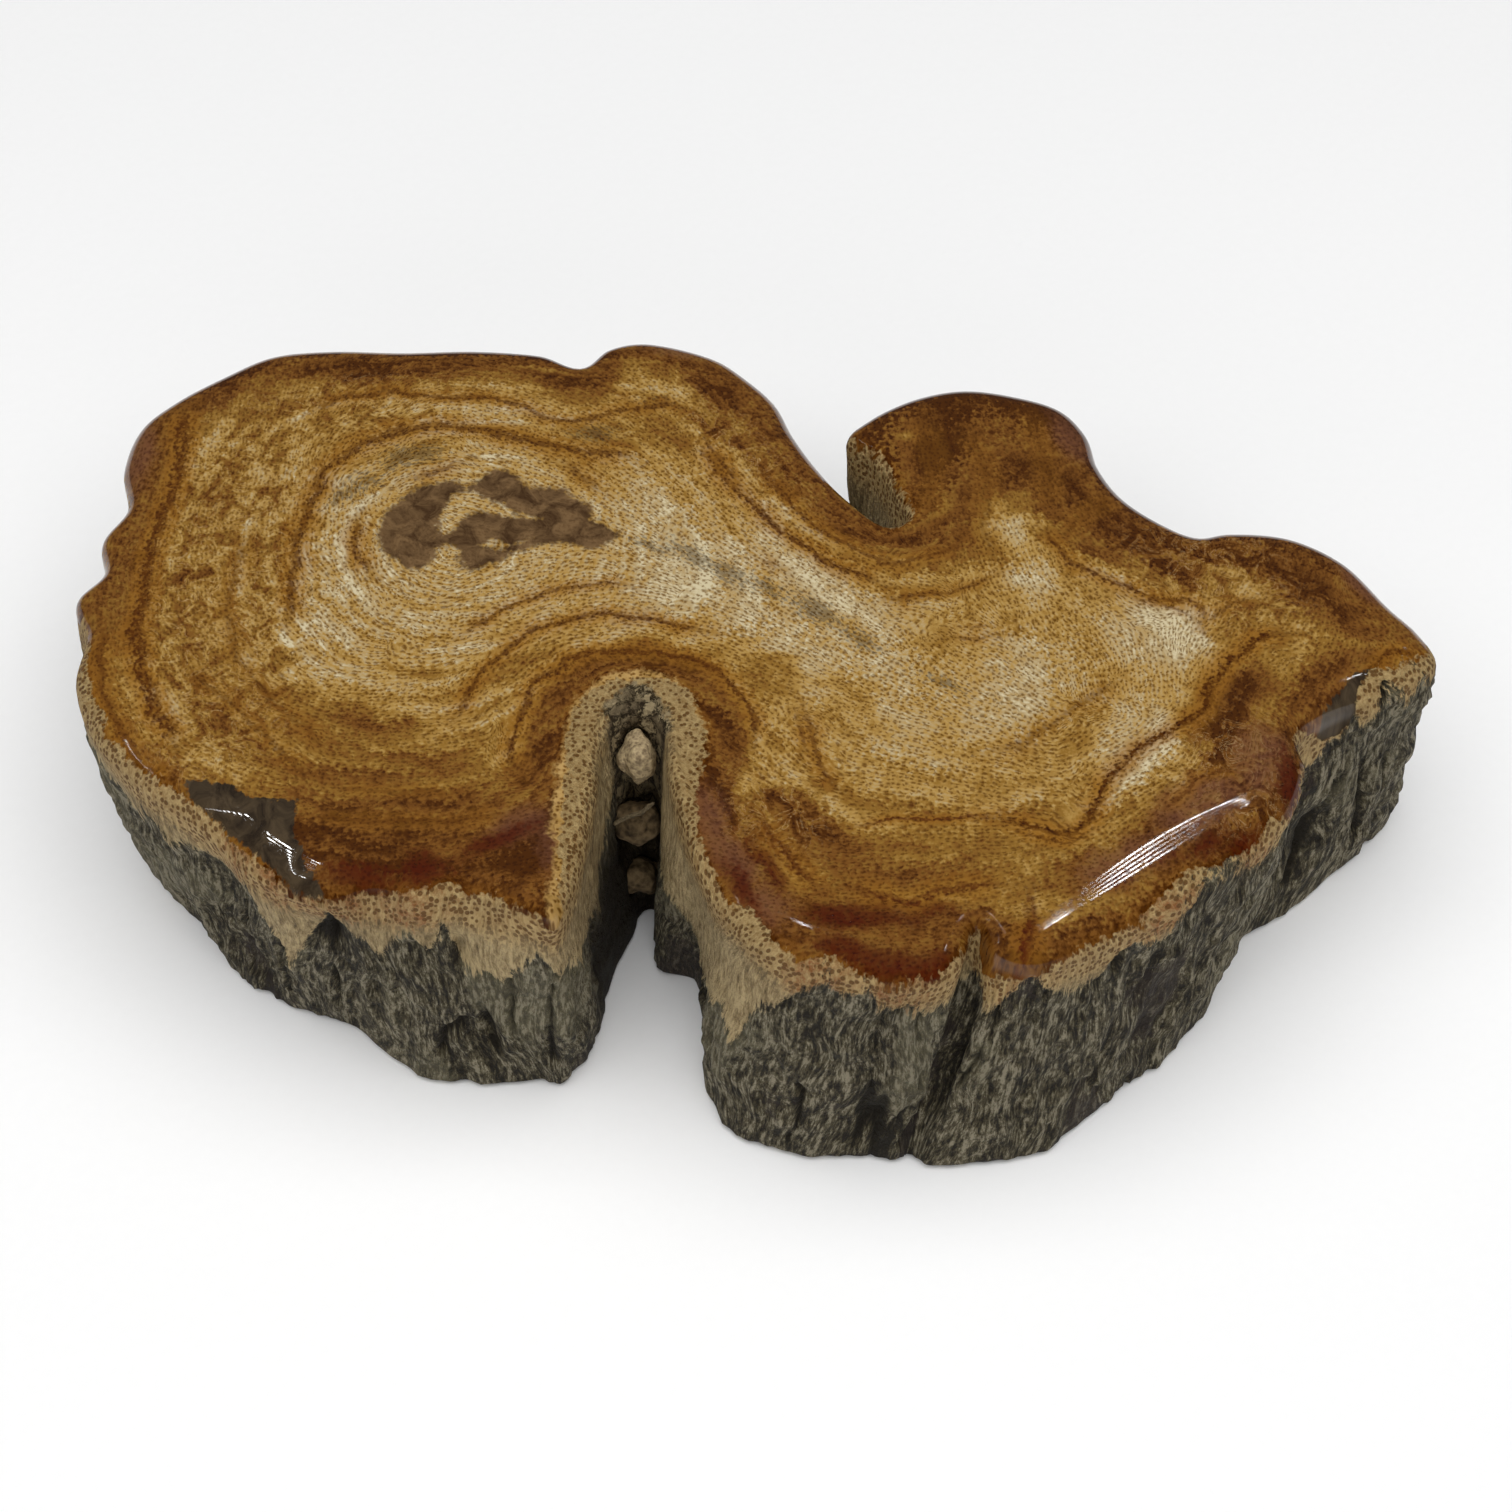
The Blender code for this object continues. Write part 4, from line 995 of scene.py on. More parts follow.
def surface_values(node, mm):
    """What the patterns read at each place: the mesh's fields by name, and noises of a few sizes."""
    stem = node("Attribute", attribute_name="stem").outputs["Vector"]
    at = {"mm": mm, "stem": stem}
    for name, parts in FIELDS.items():
        held = node("Attribute", attribute_name=name).outputs["Vector"]
        at.update(zip(parts, node("SeparateXYZ", (held,)).outputs))

    # A ripple of about 0.6 mm makes every edge ragged and shakes the pores out of their lattice.
    at["fine"] = node("TexNoise", {"Vector": mm, "Scale": 1.6, "Detail": 2.0}, noise_dimensions="2D")
    at["jitter"] = at["fine"].outputs["Color"]
    at["ripple"] = node("Math", (at["fine"], 0.5), operation="SUBTRACT")

    # Mottles of about 2.4 mm lie on the top.
    mottle = node("TexNoise", {"Vector": mm, "Scale": 0.42, "Detail": 5.0, "Roughness": 0.66,
                               "Distortion": 0.6}, noise_dimensions="2D")
    at["mottle"] = node("Math", (mottle, 0.5), operation="SUBTRACT")
    at["grains"] = node("MapRange", (at["mottle"], -0.16, 0.16, 0.0, 1.0))

    # Stone fibres about 0.5 mm wide run down the wall and wander a little, and crumbs lie on them.
    fibres = node("VectorMath", (stem, (2.1, 2.1, 0.46)), operation="MULTIPLY")
    at["fibres"] = node("TexNoise", {"Vector": fibres, "Scale": 1.0, "Detail": 4.0, "Roughness": 0.76})
    at["strand"] = node("Math", (at["fibres"], 0.5), operation="SUBTRACT")
    crumbs = node("VectorMath", (stem, (1.0, 1.0, 0.62)), operation="MULTIPLY")
    at["crumbs"] = node("TexNoise", {"Vector": crumbs, "Scale": 1.1, "Detail": 5.0, "Roughness": 0.75,
                                     "Distortion": 0.5})
    at["crumb"] = node("Math", (at["crumbs"], 0.5), operation="SUBTRACT")
    return at


def soft_edges(node, at):
    """How far each patch covers the wood, from 0 to 1, with its edge made ragged by the ripple.

    Each row has the patch's name, its field, how strongly the ripple moves its edge, and how soft the
    edge is, in mm. The dull side is where the polish has ended.
    """
    cover = {}
    for name, field, sway, soft in (
            ("heart", "heart", 1.3, 0.45), ("maroon", "maroon", 4.0, 1.3), ("mauve", "mauve", 3.0, 1.5),
            ("halo", "halo", 1.6, 0.5), ("burl", "burl", 3.0, 4.0), ("glass", "chalcedony", 1.3, 0.16),
            ("matrix", "matrix", 1.2, 0.3), ("rust", "rust", 4.0, 1.0), ("dull", "polish", -1.4, -0.2)):
        field = node("Math", (at["ripple"], sway, at[field]), operation="MULTIPLY_ADD")
        cover[name] = node("MapRange", (field, -soft, soft, 0.0, 1.0), interpolation_type="SMOOTHSTEP")
    return cover


def pore_rows(node, at, sizes):
    """Rows of pores: how much darker or paler each place is, and a wave that has its crests on the rows.

    Within cells of about 7 mm the pattern is turned to the row direction. Each pore has its own width.
    """
    shaken = node("VectorMath", (at["jitter"], (1.6, 1.6, 0.0), at["mm"]), operation="MULTIPLY_ADD")
    cells = node("TexVoronoi", {"Vector": shaken, "Scale": 0.14}, voronoi_dimensions="2D")
    centre = cells.outputs["Position"]
    angle = node("Math", (at["double_sin"], at["double_cos"]), operation="ARCTAN2")
    angle = node("Math", (angle, -0.5), operation="MULTIPLY")
    local = node("VectorRotate", {"Vector": at["mm"], "Center": centre, "Angle": angle},
                 rotation_type="Z_AXIS")
    local = node("VectorMath", (local, centre), operation="SUBTRACT")
    local = node("VectorMath", (at["jitter"], (0.7, 0.45, 0.0), local), operation="MULTIPLY_ADD")
    local = node("VectorMath", (cells.outputs["Color"], (37.0, 53.0, 0.0), local),
                 operation="MULTIPLY_ADD")
    lattice = node("VectorMath", (local, (1.0 / sizes.pore_step, 1.0 / sizes.row_spacing, 0.0)),
                   operation="MULTIPLY")
    pores = node("TexVoronoi", {"Vector": lattice, "Scale": 1.0, "Randomness": 0.72},
                 voronoi_dimensions="2D")
    reach = node("SeparateXYZ", (pores.outputs["Color"],)).outputs[0]
    reach = node("MapRange", (reach, 0.0, 1.0, 0.34, 0.60))
    grain = node("MapRange", (pores.outputs["Distance"], 0.06, reach, -0.50, 0.14),
                 interpolation_type="SMOOTHSTEP")
    faint = node("MapRange", (at["tone"], 0.15, 0.65, 0.55, 1.0))
    grain = node("Math", (grain, faint), operation="MULTIPLY")
    rows = node("SeparateXYZ", (lattice,)).outputs[1]
    rows = node("Math", (rows, 2.0 * np.pi, 0.8), operation="MULTIPLY_ADD")
    return grain, node("Math", (rows,), operation="COSINE")


def plain_wood(node, at, cover, rows, finish):
    """The wood's own colour: the growth field's bands, mottles across them and streaks along the rows."""
    along = node("Math", (at["ripple"], 0.9, at["growth"]), operation="MULTIPLY_ADD")
    across = node("Math", (node("SeparateXYZ", (at["mm"],)).outputs[0], 0.06), operation="MULTIPLY")
    bands = node("TexNoise", {"Vector": node("CombineXYZ", (along, across)), "Scale": 1.0, "Detail": 3.0,
                              "Roughness": 0.62}, noise_dimensions="2D")
    bands = node("Math", (bands, 0.5), operation="SUBTRACT")
    shade = node("Math", (bands, 0.85, at["tone"]), operation="MULTIPLY_ADD")
    uneven = node("MapRange", (cover["burl"], 0.0, 1.0, 0.5, 1.25))
    shade = node("Math", (at["mottle"], uneven, shade), operation="MULTIPLY_ADD")
    streaks = node("Math", (at["mottle"], 0.35, 0.06), operation="MULTIPLY_ADD")
    streaks = node("Math", (rows, streaks), operation="MULTIPLY")
    shade = node("Math", (streaks, at["tone"], shade), operation="MULTIPLY_ADD")
    shade = node("Math", (at["ripple"], 0.42, shade), operation="MULTIPLY_ADD")
    ramp = node("ValToRGB", (shade,))
    set_ramp(ramp.color_ramp, (
        (0.06, finish.wood_darkest), (0.24, finish.wood_brown), (0.47, finish.wood_ochre),
        (0.65, finish.wood_amber), (0.84, finish.wood_cream), (1.0, finish.wood_pale)))
    return ramp.outputs["Color"]


def stained_wood(node, at, cover, rows, wood, finish):
    """Veins in the burled wood, grey, mauve and maroon stains, growth lines, the heart and the halo."""
    for level, width, tint in ((0.03, 0.012, finish.fleck), (-0.10, 0.014, finish.wood_darkest)):
        vein = node("Math", (at["mottle"], level), operation="SUBTRACT")
        vein = node("Math", (vein,), operation="ABSOLUTE")
        vein = node("MapRange", (vein, 0.0, width, 0.55, 0.0))
        vein = node("Math", (vein, cover["burl"]), operation="MULTIPLY")
        wood = node("Mix", {"Factor": vein, "A": wood, "B": tint}, data_type="RGBA")

    # The grey is drawn in dashes along the rows.
    dashed = node("Math", (rows, 0.55, at["grey"]), operation="MULTIPLY_ADD")
    dashed = node("Math", (at["ripple"], 4.2, dashed), operation="MULTIPLY_ADD")
    dashed = node("MapRange", (dashed, -0.3, 1.0, 0.0, 1.0), interpolation_type="SMOOTHSTEP")
    for amount, strength, tint in ((dashed, 0.6, finish.grey_wood), (cover["mauve"], 0.6, finish.mauve),
                                   (cover["maroon"], 0.85, finish.maroon)):
        amount = node("Math", (amount, strength), operation="MULTIPLY")
        wood = node("Mix", {"Factor": amount, "A": wood, "B": tint}, data_type="RGBA")

    # Growth lines: a dark, patchy core in a golden margin.
    patchy = node("MapRange", (at["fine"], 0.34, 0.56, 0.45, 1.0))
    for number in range(LINE_LAYERS):
        layer = node("Attribute", attribute_name=f"lines_{number}").outputs["Vector"]
        across, power, hue = node("SeparateXYZ", (layer,)).outputs
        across = node("Math", (at["ripple"], 1.8, across), operation="MULTIPLY_ADD")
        across = node("Math", (across,), operation="ABSOLUTE")
        core = node("MapRange", (across, 0.25, 0.85, 1.0, 0.0), interpolation_type="SMOOTHSTEP")
        core = node("Math", (core, patchy), operation="MULTIPLY")
        margin = node("MapRange", (across, 0.5, 3.2, 0.7, 0.0), interpolation_type="SMOOTHSTEP")
        tint = node("Mix", {"Factor": hue, "A": finish.line_golden, "B": finish.line_maroon},
                    data_type="RGBA")
        for amount, colour in ((margin, finish.line_margin), (core, tint)):
            amount = node("Math", (amount, power), operation="MULTIPLY")
            wood = node("Mix", {"Factor": amount, "A": wood, "B": colour}, data_type="RGBA")

    for name, dark, light in (("heart", finish.heart_dark, finish.heart_light),
                              ("halo", finish.halo_dark, finish.halo_pale)):
        tint = node("Mix", {"Factor": at["grains"], "A": dark, "B": light}, data_type="RGBA")
        wood = node("Mix", {"Factor": cover[name], "A": wood, "B": tint}, data_type="RGBA")
    return wood


def halo_grain(node, at, cover, grain, sizes):
    """The pores' tone with the halo's larger pores in it, and fainter pores in the heart."""
    wide = node("VectorMath", (at["jitter"], (0.4, 0.4, 0.0), at["mm"]), operation="MULTIPLY_ADD")
    wide = node("TexVoronoi", {"Vector": wide, "Scale": 1.0 / sizes.halo_pore_spacing,
                               "Randomness": 0.7}, voronoi_dimensions="2D")
    wide = node("MapRange", (wide.outputs["Distance"], 0.10, 0.46, -0.56, 0.12),
                interpolation_type="SMOOTHSTEP")
    grain = node("Mix", {"Factor": cover["halo"], "A": grain, "B": wide}, data_type="FLOAT")
    calm = node("MapRange", (cover["heart"], 0.0, 1.0, 1.0, 0.35))
    return node("Math", (grain, calm), operation="MULTIPLY")


def pale_band(node, at, cover, holes, finish):
    """The band under the polish: a net between open pores, and greyer fibre further down."""
    net = node("MapRange", (at["strand"], -0.16, 0.16, 0.0, 1.0))
    net = node("Mix", {"Factor": net, "A": finish.rind_dark, "B": finish.rind_pale}, data_type="RGBA")
    rusty = node("MapRange", (at["crumb"], -0.08, 0.12, 0.05, 0.75))
    rusty = node("Math", (cover["rust"], rusty), operation="MULTIPLY")
    dark = node("Math", (holes, 0.86), operation="MULTIPLY")
    for amount, colour in ((rusty, finish.rust), (dark, finish.open_pore)):
        net = node("Mix", {"Factor": amount, "A": net, "B": colour}, data_type="RGBA")
    fibre = node("ValToRGB", (node("Math", (at["areas"], 0.06, at["fibres"]), operation="MULTIPLY_ADD"),))
    set_ramp(fibre.color_ramp, ((0.30, finish.fibre_dark), (0.46, finish.fibre_grey),
                                (0.62, finish.fibre_pale)))
    lower = node("Math", (at["strand"], 9.0, at["polish"]), operation="MULTIPLY_ADD")
    lower = node("MapRange", (lower, -2.2, -5.4, 0.0, 1.0), interpolation_type="SMOOTHSTEP")
    return node("Mix", {"Factor": lower, "A": net, "B": fibre.outputs["Color"]}, data_type="RGBA")


def bark_colour(node, at, finish):
    """The bark: dark olive fibres and crumbs with pale flecks, bare dark patches, pale ridges, and painted
    shade in its hollows.
    """
    bark = node("Math", (at["strand"], 2.7, 0.49), operation="MULTIPLY_ADD")
    # The hollow term is painted shade: the bark darkens where the wall sinks.
    for pattern, strength in (("crumb", 1.15), ("areas", 0.10), ("hollow", -0.16)):
        bark = node("Math", (at[pattern], strength, bark), operation="MULTIPLY_ADD")
    bark = node("ValToRGB", (bark,))
    set_ramp(bark.color_ramp, ((0.14, finish.bark_black_and_hollow_shade), (0.34, finish.bark_dark),
                               (0.54, finish.bark_grey), (0.76, finish.bark_pale)))
    bark = bark.outputs["Color"]
    bare = node("Math", (at["crumb"], 1.2, at["areas"]), operation="MULTIPLY_ADD")
    for low, high, most, colour in ((0.34, 0.60, 0.3, finish.bark_ridge),
                                    (-0.36, -0.52, 0.66, finish.bark_smooth)):
        amount = node("MapRange", (bare, low, high, 0.0, most), interpolation_type="SMOOTHSTEP")
        bark = node("Mix", {"Factor": amount, "A": bark, "B": colour}, data_type="RGBA")
    return bark


def cleft_rock(node, at, finish):
    """Grey rock at the cleft's inner end: pale and dark pieces of about 2 mm, with dark cracks between."""
    pieces = node("VectorMath", (at["crumbs"].outputs["Color"], (3.6, 3.6, 3.6), at["mm"]),
                  operation="MULTIPLY_ADD")
    shards = node("TexVoronoi", {"Vector": pieces, "Scale": 0.55})
    tone = node("SeparateXYZ", (shards.outputs["Color"],)).outputs[0]
    tone = node("Math", (at["crumb"], 2.2, tone), operation="MULTIPLY_ADD")
    rock = node("Mix", {"Factor": tone, "A": finish.rock_dark, "B": finish.rock_pale}, data_type="RGBA")
    seams = node("TexVoronoi", {"Vector": pieces, "Scale": 0.55}, feature="DISTANCE_TO_EDGE")
    seams = node("Math", (at["crumb"], 0.5, seams), operation="MULTIPLY_ADD")
    seams = node("MapRange", (seams, 0.03, 0.16, 1.0, 0.0))
    return node("Mix", {"Factor": seams, "A": rock, "B": finish.crack}, data_type="RGBA")


def petrified_wood(sizes, finish):
    """Agatised wood: quartz stained by iron, sawn and polished on top to a gloss that shows the pores.

    Below the polish the same pores lie open in a pale dry band, and the bark under it is matt olive-grey
    stone fibre. To the eye that is a warm glassy top over a rough dull wall. The pores are upright tubes,
    so the top's patterns are plain functions of x and y.
    """
    material, tree, gloss, mm = new_material("agatised wood, polished and raw")
    node = partial(add, tree)
    at = surface_values(node, mm)
    cover = soft_edges(node, at)

    # Polished: pores darken and redden the wood, and the walls between them are paler.
    grain, rows = pore_rows(node, at, sizes)
    wood = plain_wood(node, at, cover, rows, finish)
    wood = stained_wood(node, at, cover, rows, wood, finish)
    grain = halo_grain(node, at, cover, grain, sizes)
    tinted = node("VectorMath", (grain, (1.0, 1.14, 1.34), (0.93, 0.90, 0.90)), operation="MULTIPLY_ADD")
    wood = node("VectorMath", (wood, tinted), operation="MULTIPLY")
    glass = node("Mix", {"Factor": at["grains"], "A": finish.chalcedony_dark,
                         "B": finish.chalcedony_light}, data_type="RGBA")
    wood = node("Mix", {"Factor": cover["glass"], "A": wood, "B": glass}, data_type="RGBA")
    tree.links.new(wood.outputs[2], gloss.inputs["Base Color"])
    rough = node("MapRange", (cover["glass"], 0.0, 1.0, finish.polish_roughness, 0.03))
    rough = node("Math", (grain, -0.12, rough), operation="MULTIPLY_ADD")
    tree.links.new(rough.outputs[0], gloss.inputs["Roughness"])

    # The polish fades out over the last millimetre and down the side, where it is only ground.
    ground = node("MapRange", (at["polish"], 0.0, 1.1, 0.08, 0.5))
    height = node("MapRange", (node("SeparateXYZ", (mm,)).outputs[2], 30.0, 33.2, 0.05, 1.0))
    shine = node("Math", (ground, height), operation="MULTIPLY")
    tree.links.new(shine.outputs[0], gloss.inputs["Specular IOR Level"])
    gloss.inputs["IOR"].default_value = 1.54

    # Raw: the pale band with its open pores, and over it bark, painted shade in the deep hollows, rock, and
    # soil with painted shade deeper in the cleft.
    open_pores = node("VectorMath", (at["stem"], (1.0, 1.0, 0.78)), operation="MULTIPLY")
    open_pores = node("TexVoronoi", {"Vector": open_pores, "Scale": 1.0 / sizes.open_pore_spacing,
                                     "Randomness": 0.66})
    holes = node("MapRange", (open_pores.outputs["Distance"], 0.32, 0.50, 1.0, 0.0),
                 interpolation_type="SMOOTHSTEP")
    raw = pale_band(node, at, cover, holes, finish)
    barked = node("Math", (at["strand"], 9.0, at["bark"]), operation="MULTIPLY_ADD")
    barked = node("MapRange", (barked, 0.7, -0.7, 0.0, 1.0), interpolation_type="SMOOTHSTEP")
    # Painted shade: the deep hollows, pits and slits are darkened towards near-black.
    wells = node("MapRange", (at["hollow"], 1.1, 2.4, 0.0, 0.8), interpolation_type="SMOOTHSTEP")
    # Soil and painted shade: the cleft's wall darkens to near-black with depth.
    shaded_soil = node("Math", (at["soil"], 0.94), operation="MULTIPLY")
    for amount, colour in ((barked, bark_colour(node, at, finish)), (wells, finish.bark_black_and_hollow_shade),
                           (cover["matrix"], cleft_rock(node, at, finish)), (shaded_soil, finish.soil)):
        raw = node("Mix", {"Factor": amount, "A": raw, "B": colour}, data_type="RGBA")

    # The raw side has relief too fine for the mesh.
    rise = node("Math", (at["fibres"], at["crumbs"]), operation="ADD")
    rise = node("Math", (holes, -0.25, rise), operation="MULTIPLY_ADD")
    bump = node("Bump", {"Strength": 0.9, "Distance": 0.0008, "Height": rise})
    matt = node("BsdfPrincipled", {"Base Color": raw, "Roughness": 0.85, "IOR": 1.45, "Normal": bump})

    rawness = node("Math", (cover["dull"], cover["matrix"]), operation="MAXIMUM")
    both = node("MixShader", (rawness, gloss, matt))
    tree.links.new(both.outputs[0], tree.nodes["Material Output"].inputs["Surface"])
    return material


def rough_stone(name, dark, pale, grain, roughness):
    """Stone or dry earth: a dull, even scatter of dark and pale grains of about the given mm."""
    material, tree, shader, mm = new_material(name)
    coarse = add(tree, "TexNoise", {"Vector": mm, "Scale": 0.5 / grain, "Detail": 5.0, "Roughness": 0.65})
    grains = add(tree, "TexVoronoi", {"Vector": mm, "Scale": 1.0 / grain})
    mixed = add(tree, "Math", (grains.outputs["Distance"], 0.35, coarse), operation="MULTIPLY_ADD")
    cover = add(tree, "MapRange", (mixed, 0.42, 0.92, 0.0, 1.0), interpolation_type="SMOOTHSTEP")
    colour = add(tree, "Mix", {"Factor": cover, "A": dark, "B": pale}, data_type="RGBA")
    tree.links.new(colour.outputs[2], shader.inputs["Base Color"])
    shader.inputs["Roughness"].default_value = roughness
    bump = add(tree, "Bump", {"Strength": 0.8, "Distance": 0.0003, "Height": mixed})
    tree.links.new(bump.outputs[0], shader.inputs["Normal"])
    return material


def floor_paper(colour):
    """Matt backdrop paper: an even pale sheet, whose faint grain makes it look like paper, not light."""
    material, tree, shader, mm = new_material("backdrop paper, matt")
    grain = add(tree, "TexNoise", {"Vector": mm, "Scale": 0.8, "Detail": 3.0})
    cover = add(tree, "MapRange", (grain, 0.3, 0.7, 0.0, 0.04))
    sheet = add(tree, "Mix", {"Factor": cover, "A": colour, "B": (0.7, 0.7, 0.7)}, data_type="RGBA")
    tree.links.new(sheet.outputs[2], shader.inputs["Base Color"])
    shader.inputs["Roughness"].default_value = 0.9
    shader.inputs["Specular IOR Level"].default_value = 0.1
    return material


# What a user can change.


def length_of(name, description, mm):
    """A length property, shown in the scene's units, with its default given in millimetres."""
    return bpy.props.FloatProperty(name=name, description=description, default=mm * MM, min=0.0,
                                   precision=5, subtype="DISTANCE", unit="LENGTH")


def in_mm(lengths):
    """A group's lengths by name, in millimetres."""
    return SimpleNamespace(**{name: getattr(lengths, name) / MM for name in lengths.__annotations__})


def colour_of(name, description, code):
    """A colour property whose default is an sRGB hex value."""
    return bpy.props.FloatVectorProperty(name=name, description=description, subtype="COLOR",
                                         default=linear(code), min=0.0, max=1.0, size=3)


class SliceSizes(bpy.types.PropertyGroup):
    fold_depth: length_of("Fold depth", "Height of the bark's broad upright folds", 1.3)
    strand_depth: length_of("Strand depth", "Height of the bark's upright strands", 0.52)
    thread_depth: length_of("Thread depth", "Height of the threads between the strands", 0.26)
    crumb_depth: length_of("Crumb depth", "Height of the crumbs on the bark", 0.3)
    plate_depth: length_of("Plate depth", "Height of the bark's plates over its bare patches", 0.55)
    slit_depth: length_of("Slit depth", "Depth of the narrow slits in the bark", 1.1)
    bark_setback: length_of("Bark setback", "How far the bark lies behind the pale edge", 0.35)
    row_spacing: length_of("Row spacing", "Distance between rows of pores", 0.5)
    pore_step: length_of("Pore step", "Distance between the pores in a row", 0.7)
    halo_pore_spacing: length_of("Halo pore spacing", "Distance between the halo's pores", 0.58)
    open_pore_spacing: length_of("Open pore spacing", "Distance between the open pores", 0.58)
    rootlet_radius: length_of("Rootlet radius", "Radius of the rootlet", 0.26)


class SliceFinish(bpy.types.PropertyGroup):
    polish_roughness: bpy.props.FloatProperty(
        name="Polish roughness", description="Roughness of the polished top", default=0.06, min=0.0,
        max=1.0, subtype="FACTOR")
    wood_darkest: colour_of("Darkest wood", "Darkest bands near the rim", "#472505")
    wood_brown: colour_of("Brown wood", "Brown rim", "#71481a")
    wood_ochre: colour_of("Ochre wood", "Ochre between rim and middle", "#8b6729")
    wood_amber: colour_of("Amber wood", "Amber wood", "#aa8848")
    wood_cream: colour_of("Cream wood", "Cream middle", "#b09b70")
    wood_pale: colour_of("Pale wood", "Palest streaks", "#cabd98")
    fleck: colour_of("Fleck", "Pale veins in burled wood", "#c9ac76")
    grey_wood: colour_of("Grey wood", "Grey smudges in the cream", "#4a3a25")
    heart_dark: colour_of("Heart, dark", "Dark part of the heart", "#45301a")
    heart_light: colour_of("Heart, light", "Light part of the heart", "#765c3c")
    mauve: colour_of("Mauve stain", "Mauve stain", "#6c4631")
    maroon: colour_of("Maroon stain", "Maroon stain", "#481403")
    line_golden: colour_of("Growth line", "Golden-brown growth line", "#4f2a04")
    line_maroon: colour_of("Red growth line", "Maroon growth line", "#481403")
    line_margin: colour_of("Growth line margin", "Golden margin of a growth line", "#8d5f1c")
    halo_dark: colour_of("Halo, dark", "Halo round the cleft, darker part", "#94733a")
    halo_pale: colour_of("Halo, pale", "Halo round the cleft, paler part", "#b39259")
    rind_dark: colour_of("Net, dark", "Net of open pores, darker part", "#9c7a48")
    rind_pale: colour_of("Net, pale", "Net of open pores, paler part", "#ccb07a")
    rust: colour_of("Rust", "Rust in the pale band", "#8a4510")
    open_pore: colour_of("Open pore", "Open pore in the pale band", "#664117")
    fibre_dark: colour_of("Fibre, dark", "Dark fibre below the net", "#594930")
    fibre_grey: colour_of("Fibre, grey", "Grey fibre below the net", "#957f58")
    fibre_pale: colour_of("Fibre, pale", "Pale fibre below the net", "#c6af82")
    rock_dark: colour_of("Rock, dark", "Grey rock in the cleft, darker part", "#5f513c")
    rock_pale: colour_of("Rock, pale", "Grey rock in the cleft, paler part", "#ae9b76")
    crack: colour_of("Crack", "Cracks in the rock", "#2e2415")
    chalcedony_dark: colour_of("Chalcedony, dark", "Glassy patch, dark", "#281f16")
    chalcedony_light: colour_of("Chalcedony, light", "Glassy patch, light", "#4b3e2d")
    # Also the painted shade in the wall's deep hollows.
    bark_black_and_hollow_shade: colour_of("Bark, black", "Deep hollows", "#221d14")
    bark_dark: colour_of("Bark, dark", "Dark fibres", "#413a2a")
    bark_grey: colour_of("Bark, olive", "Olive-grey fibres", "#635b45")
    bark_pale: colour_of("Bark, pale", "Pale fibres", "#999079")
    bark_smooth: colour_of("Bark, smooth", "Smooth dark patches", "#352c28")
    bark_ridge: colour_of("Bark, ridges", "Pale ridges of the bark", "#7d765c")
    # Soil colour that also stands for the painted shade deep in the cleft.
    soil: colour_of("Soil", "Soil deep in the cleft", "#1d1509")
    pebble_dark: colour_of("Pebble, dark", "Pebble, dark grains", "#75634a")
    pebble_pale: colour_of("Pebble, pale", "Pebble, pale grains", "#bba67f")
    clod_dark: colour_of("Earth, dark", "Hard earth, dark grains", "#3a2d1c")
    clod_pale: colour_of("Earth, pale", "Hard earth, pale grains", "#7c684a")
    rootlet: colour_of("Rootlet", "Dead rootlet", "#6f6149")


class StageSettings(bpy.types.PropertyGroup):
    floor: colour_of("Floor", "Floor colour", "#fdfdfd")
    key: bpy.props.FloatProperty(name="Key light", description="Power of the overhead light",
                                 default=9.5, min=0.0, unit="POWER")
    fill: bpy.props.FloatProperty(name="Fill light", description="Power of the front light",
                                  default=2.4, min=0.0, unit="POWER")
    strip: bpy.props.FloatProperty(name="Strip light", description="Brightness of the strips' lamps",
                                   default=60.0, min=0.0)
    world: bpy.props.FloatProperty(name="World light", description="Brightness of the light all round",
                                   default=0.08, min=0.0)
    elevation: bpy.props.FloatProperty(
        name="Camera elevation", description="How steeply the camera looks down at the slice",
        default=radians(52.0), min=0.0, max=radians(90.0), subtype="ANGLE", unit="ROTATION")
    view_angle: bpy.props.FloatProperty(
        name="View angle", description="Width of the camera's view", default=radians(28.0),
        min=radians(5.0), max=radians(90.0), subtype="ANGLE", unit="ROTATION")
    distance: length_of("Camera distance", "From the camera to the middle of the slice", 335.0)


def dress(piece, slot, *nodes):
    """Lets a piece ride on the slice's body in the place of its CAD nodes, and hides them. The slot is not
    used.
    """
    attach(piece, "root")
    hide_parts(*nodes)


class MESH_OT_petrified_slice(bpy.types.Operator):
    """Make the slice: polished top, pale edge and bark walls"""

    bl_idname = "mesh.petrified_slice"
    bl_label = "Petrified Slice"

    def execute(self, context):
        sizes = in_mm(context.scene.slice_sizes)
        points, faces, values = slice_surface(sizes)
        material = petrified_wood(sizes, context.scene.slice_finish)
        dress(make_piece("slice_body", points, faces, material, values), "petrified_wood", "slice")
        return {"FINISHED"}


class MESH_OT_petrified_lumps(bpy.types.Operator):
    """Make the pebble and the clods wedged in the cleft"""

    bl_idname = "mesh.petrified_lumps"
    bl_label = "Pebble and Clods"

    def execute(self, context):
        finish = context.scene.slice_finish
        materials = {
            "pebble": rough_stone("sandstone pebble, worn", finish.pebble_dark, finish.pebble_pale,
                                  0.4, 0.8),
            "earth": rough_stone("dry earth, hard", finish.clod_dark, finish.clod_pale, 0.7, 0.95),
        }
        for replaced, name, slot, centre, half_axes, seed in LUMPS:
            points, faces = lump_surface(centre, half_axes, seed)
            dress(make_piece(name, points, faces, materials[slot]), slot, replaced)
        return {"FINISHED"}


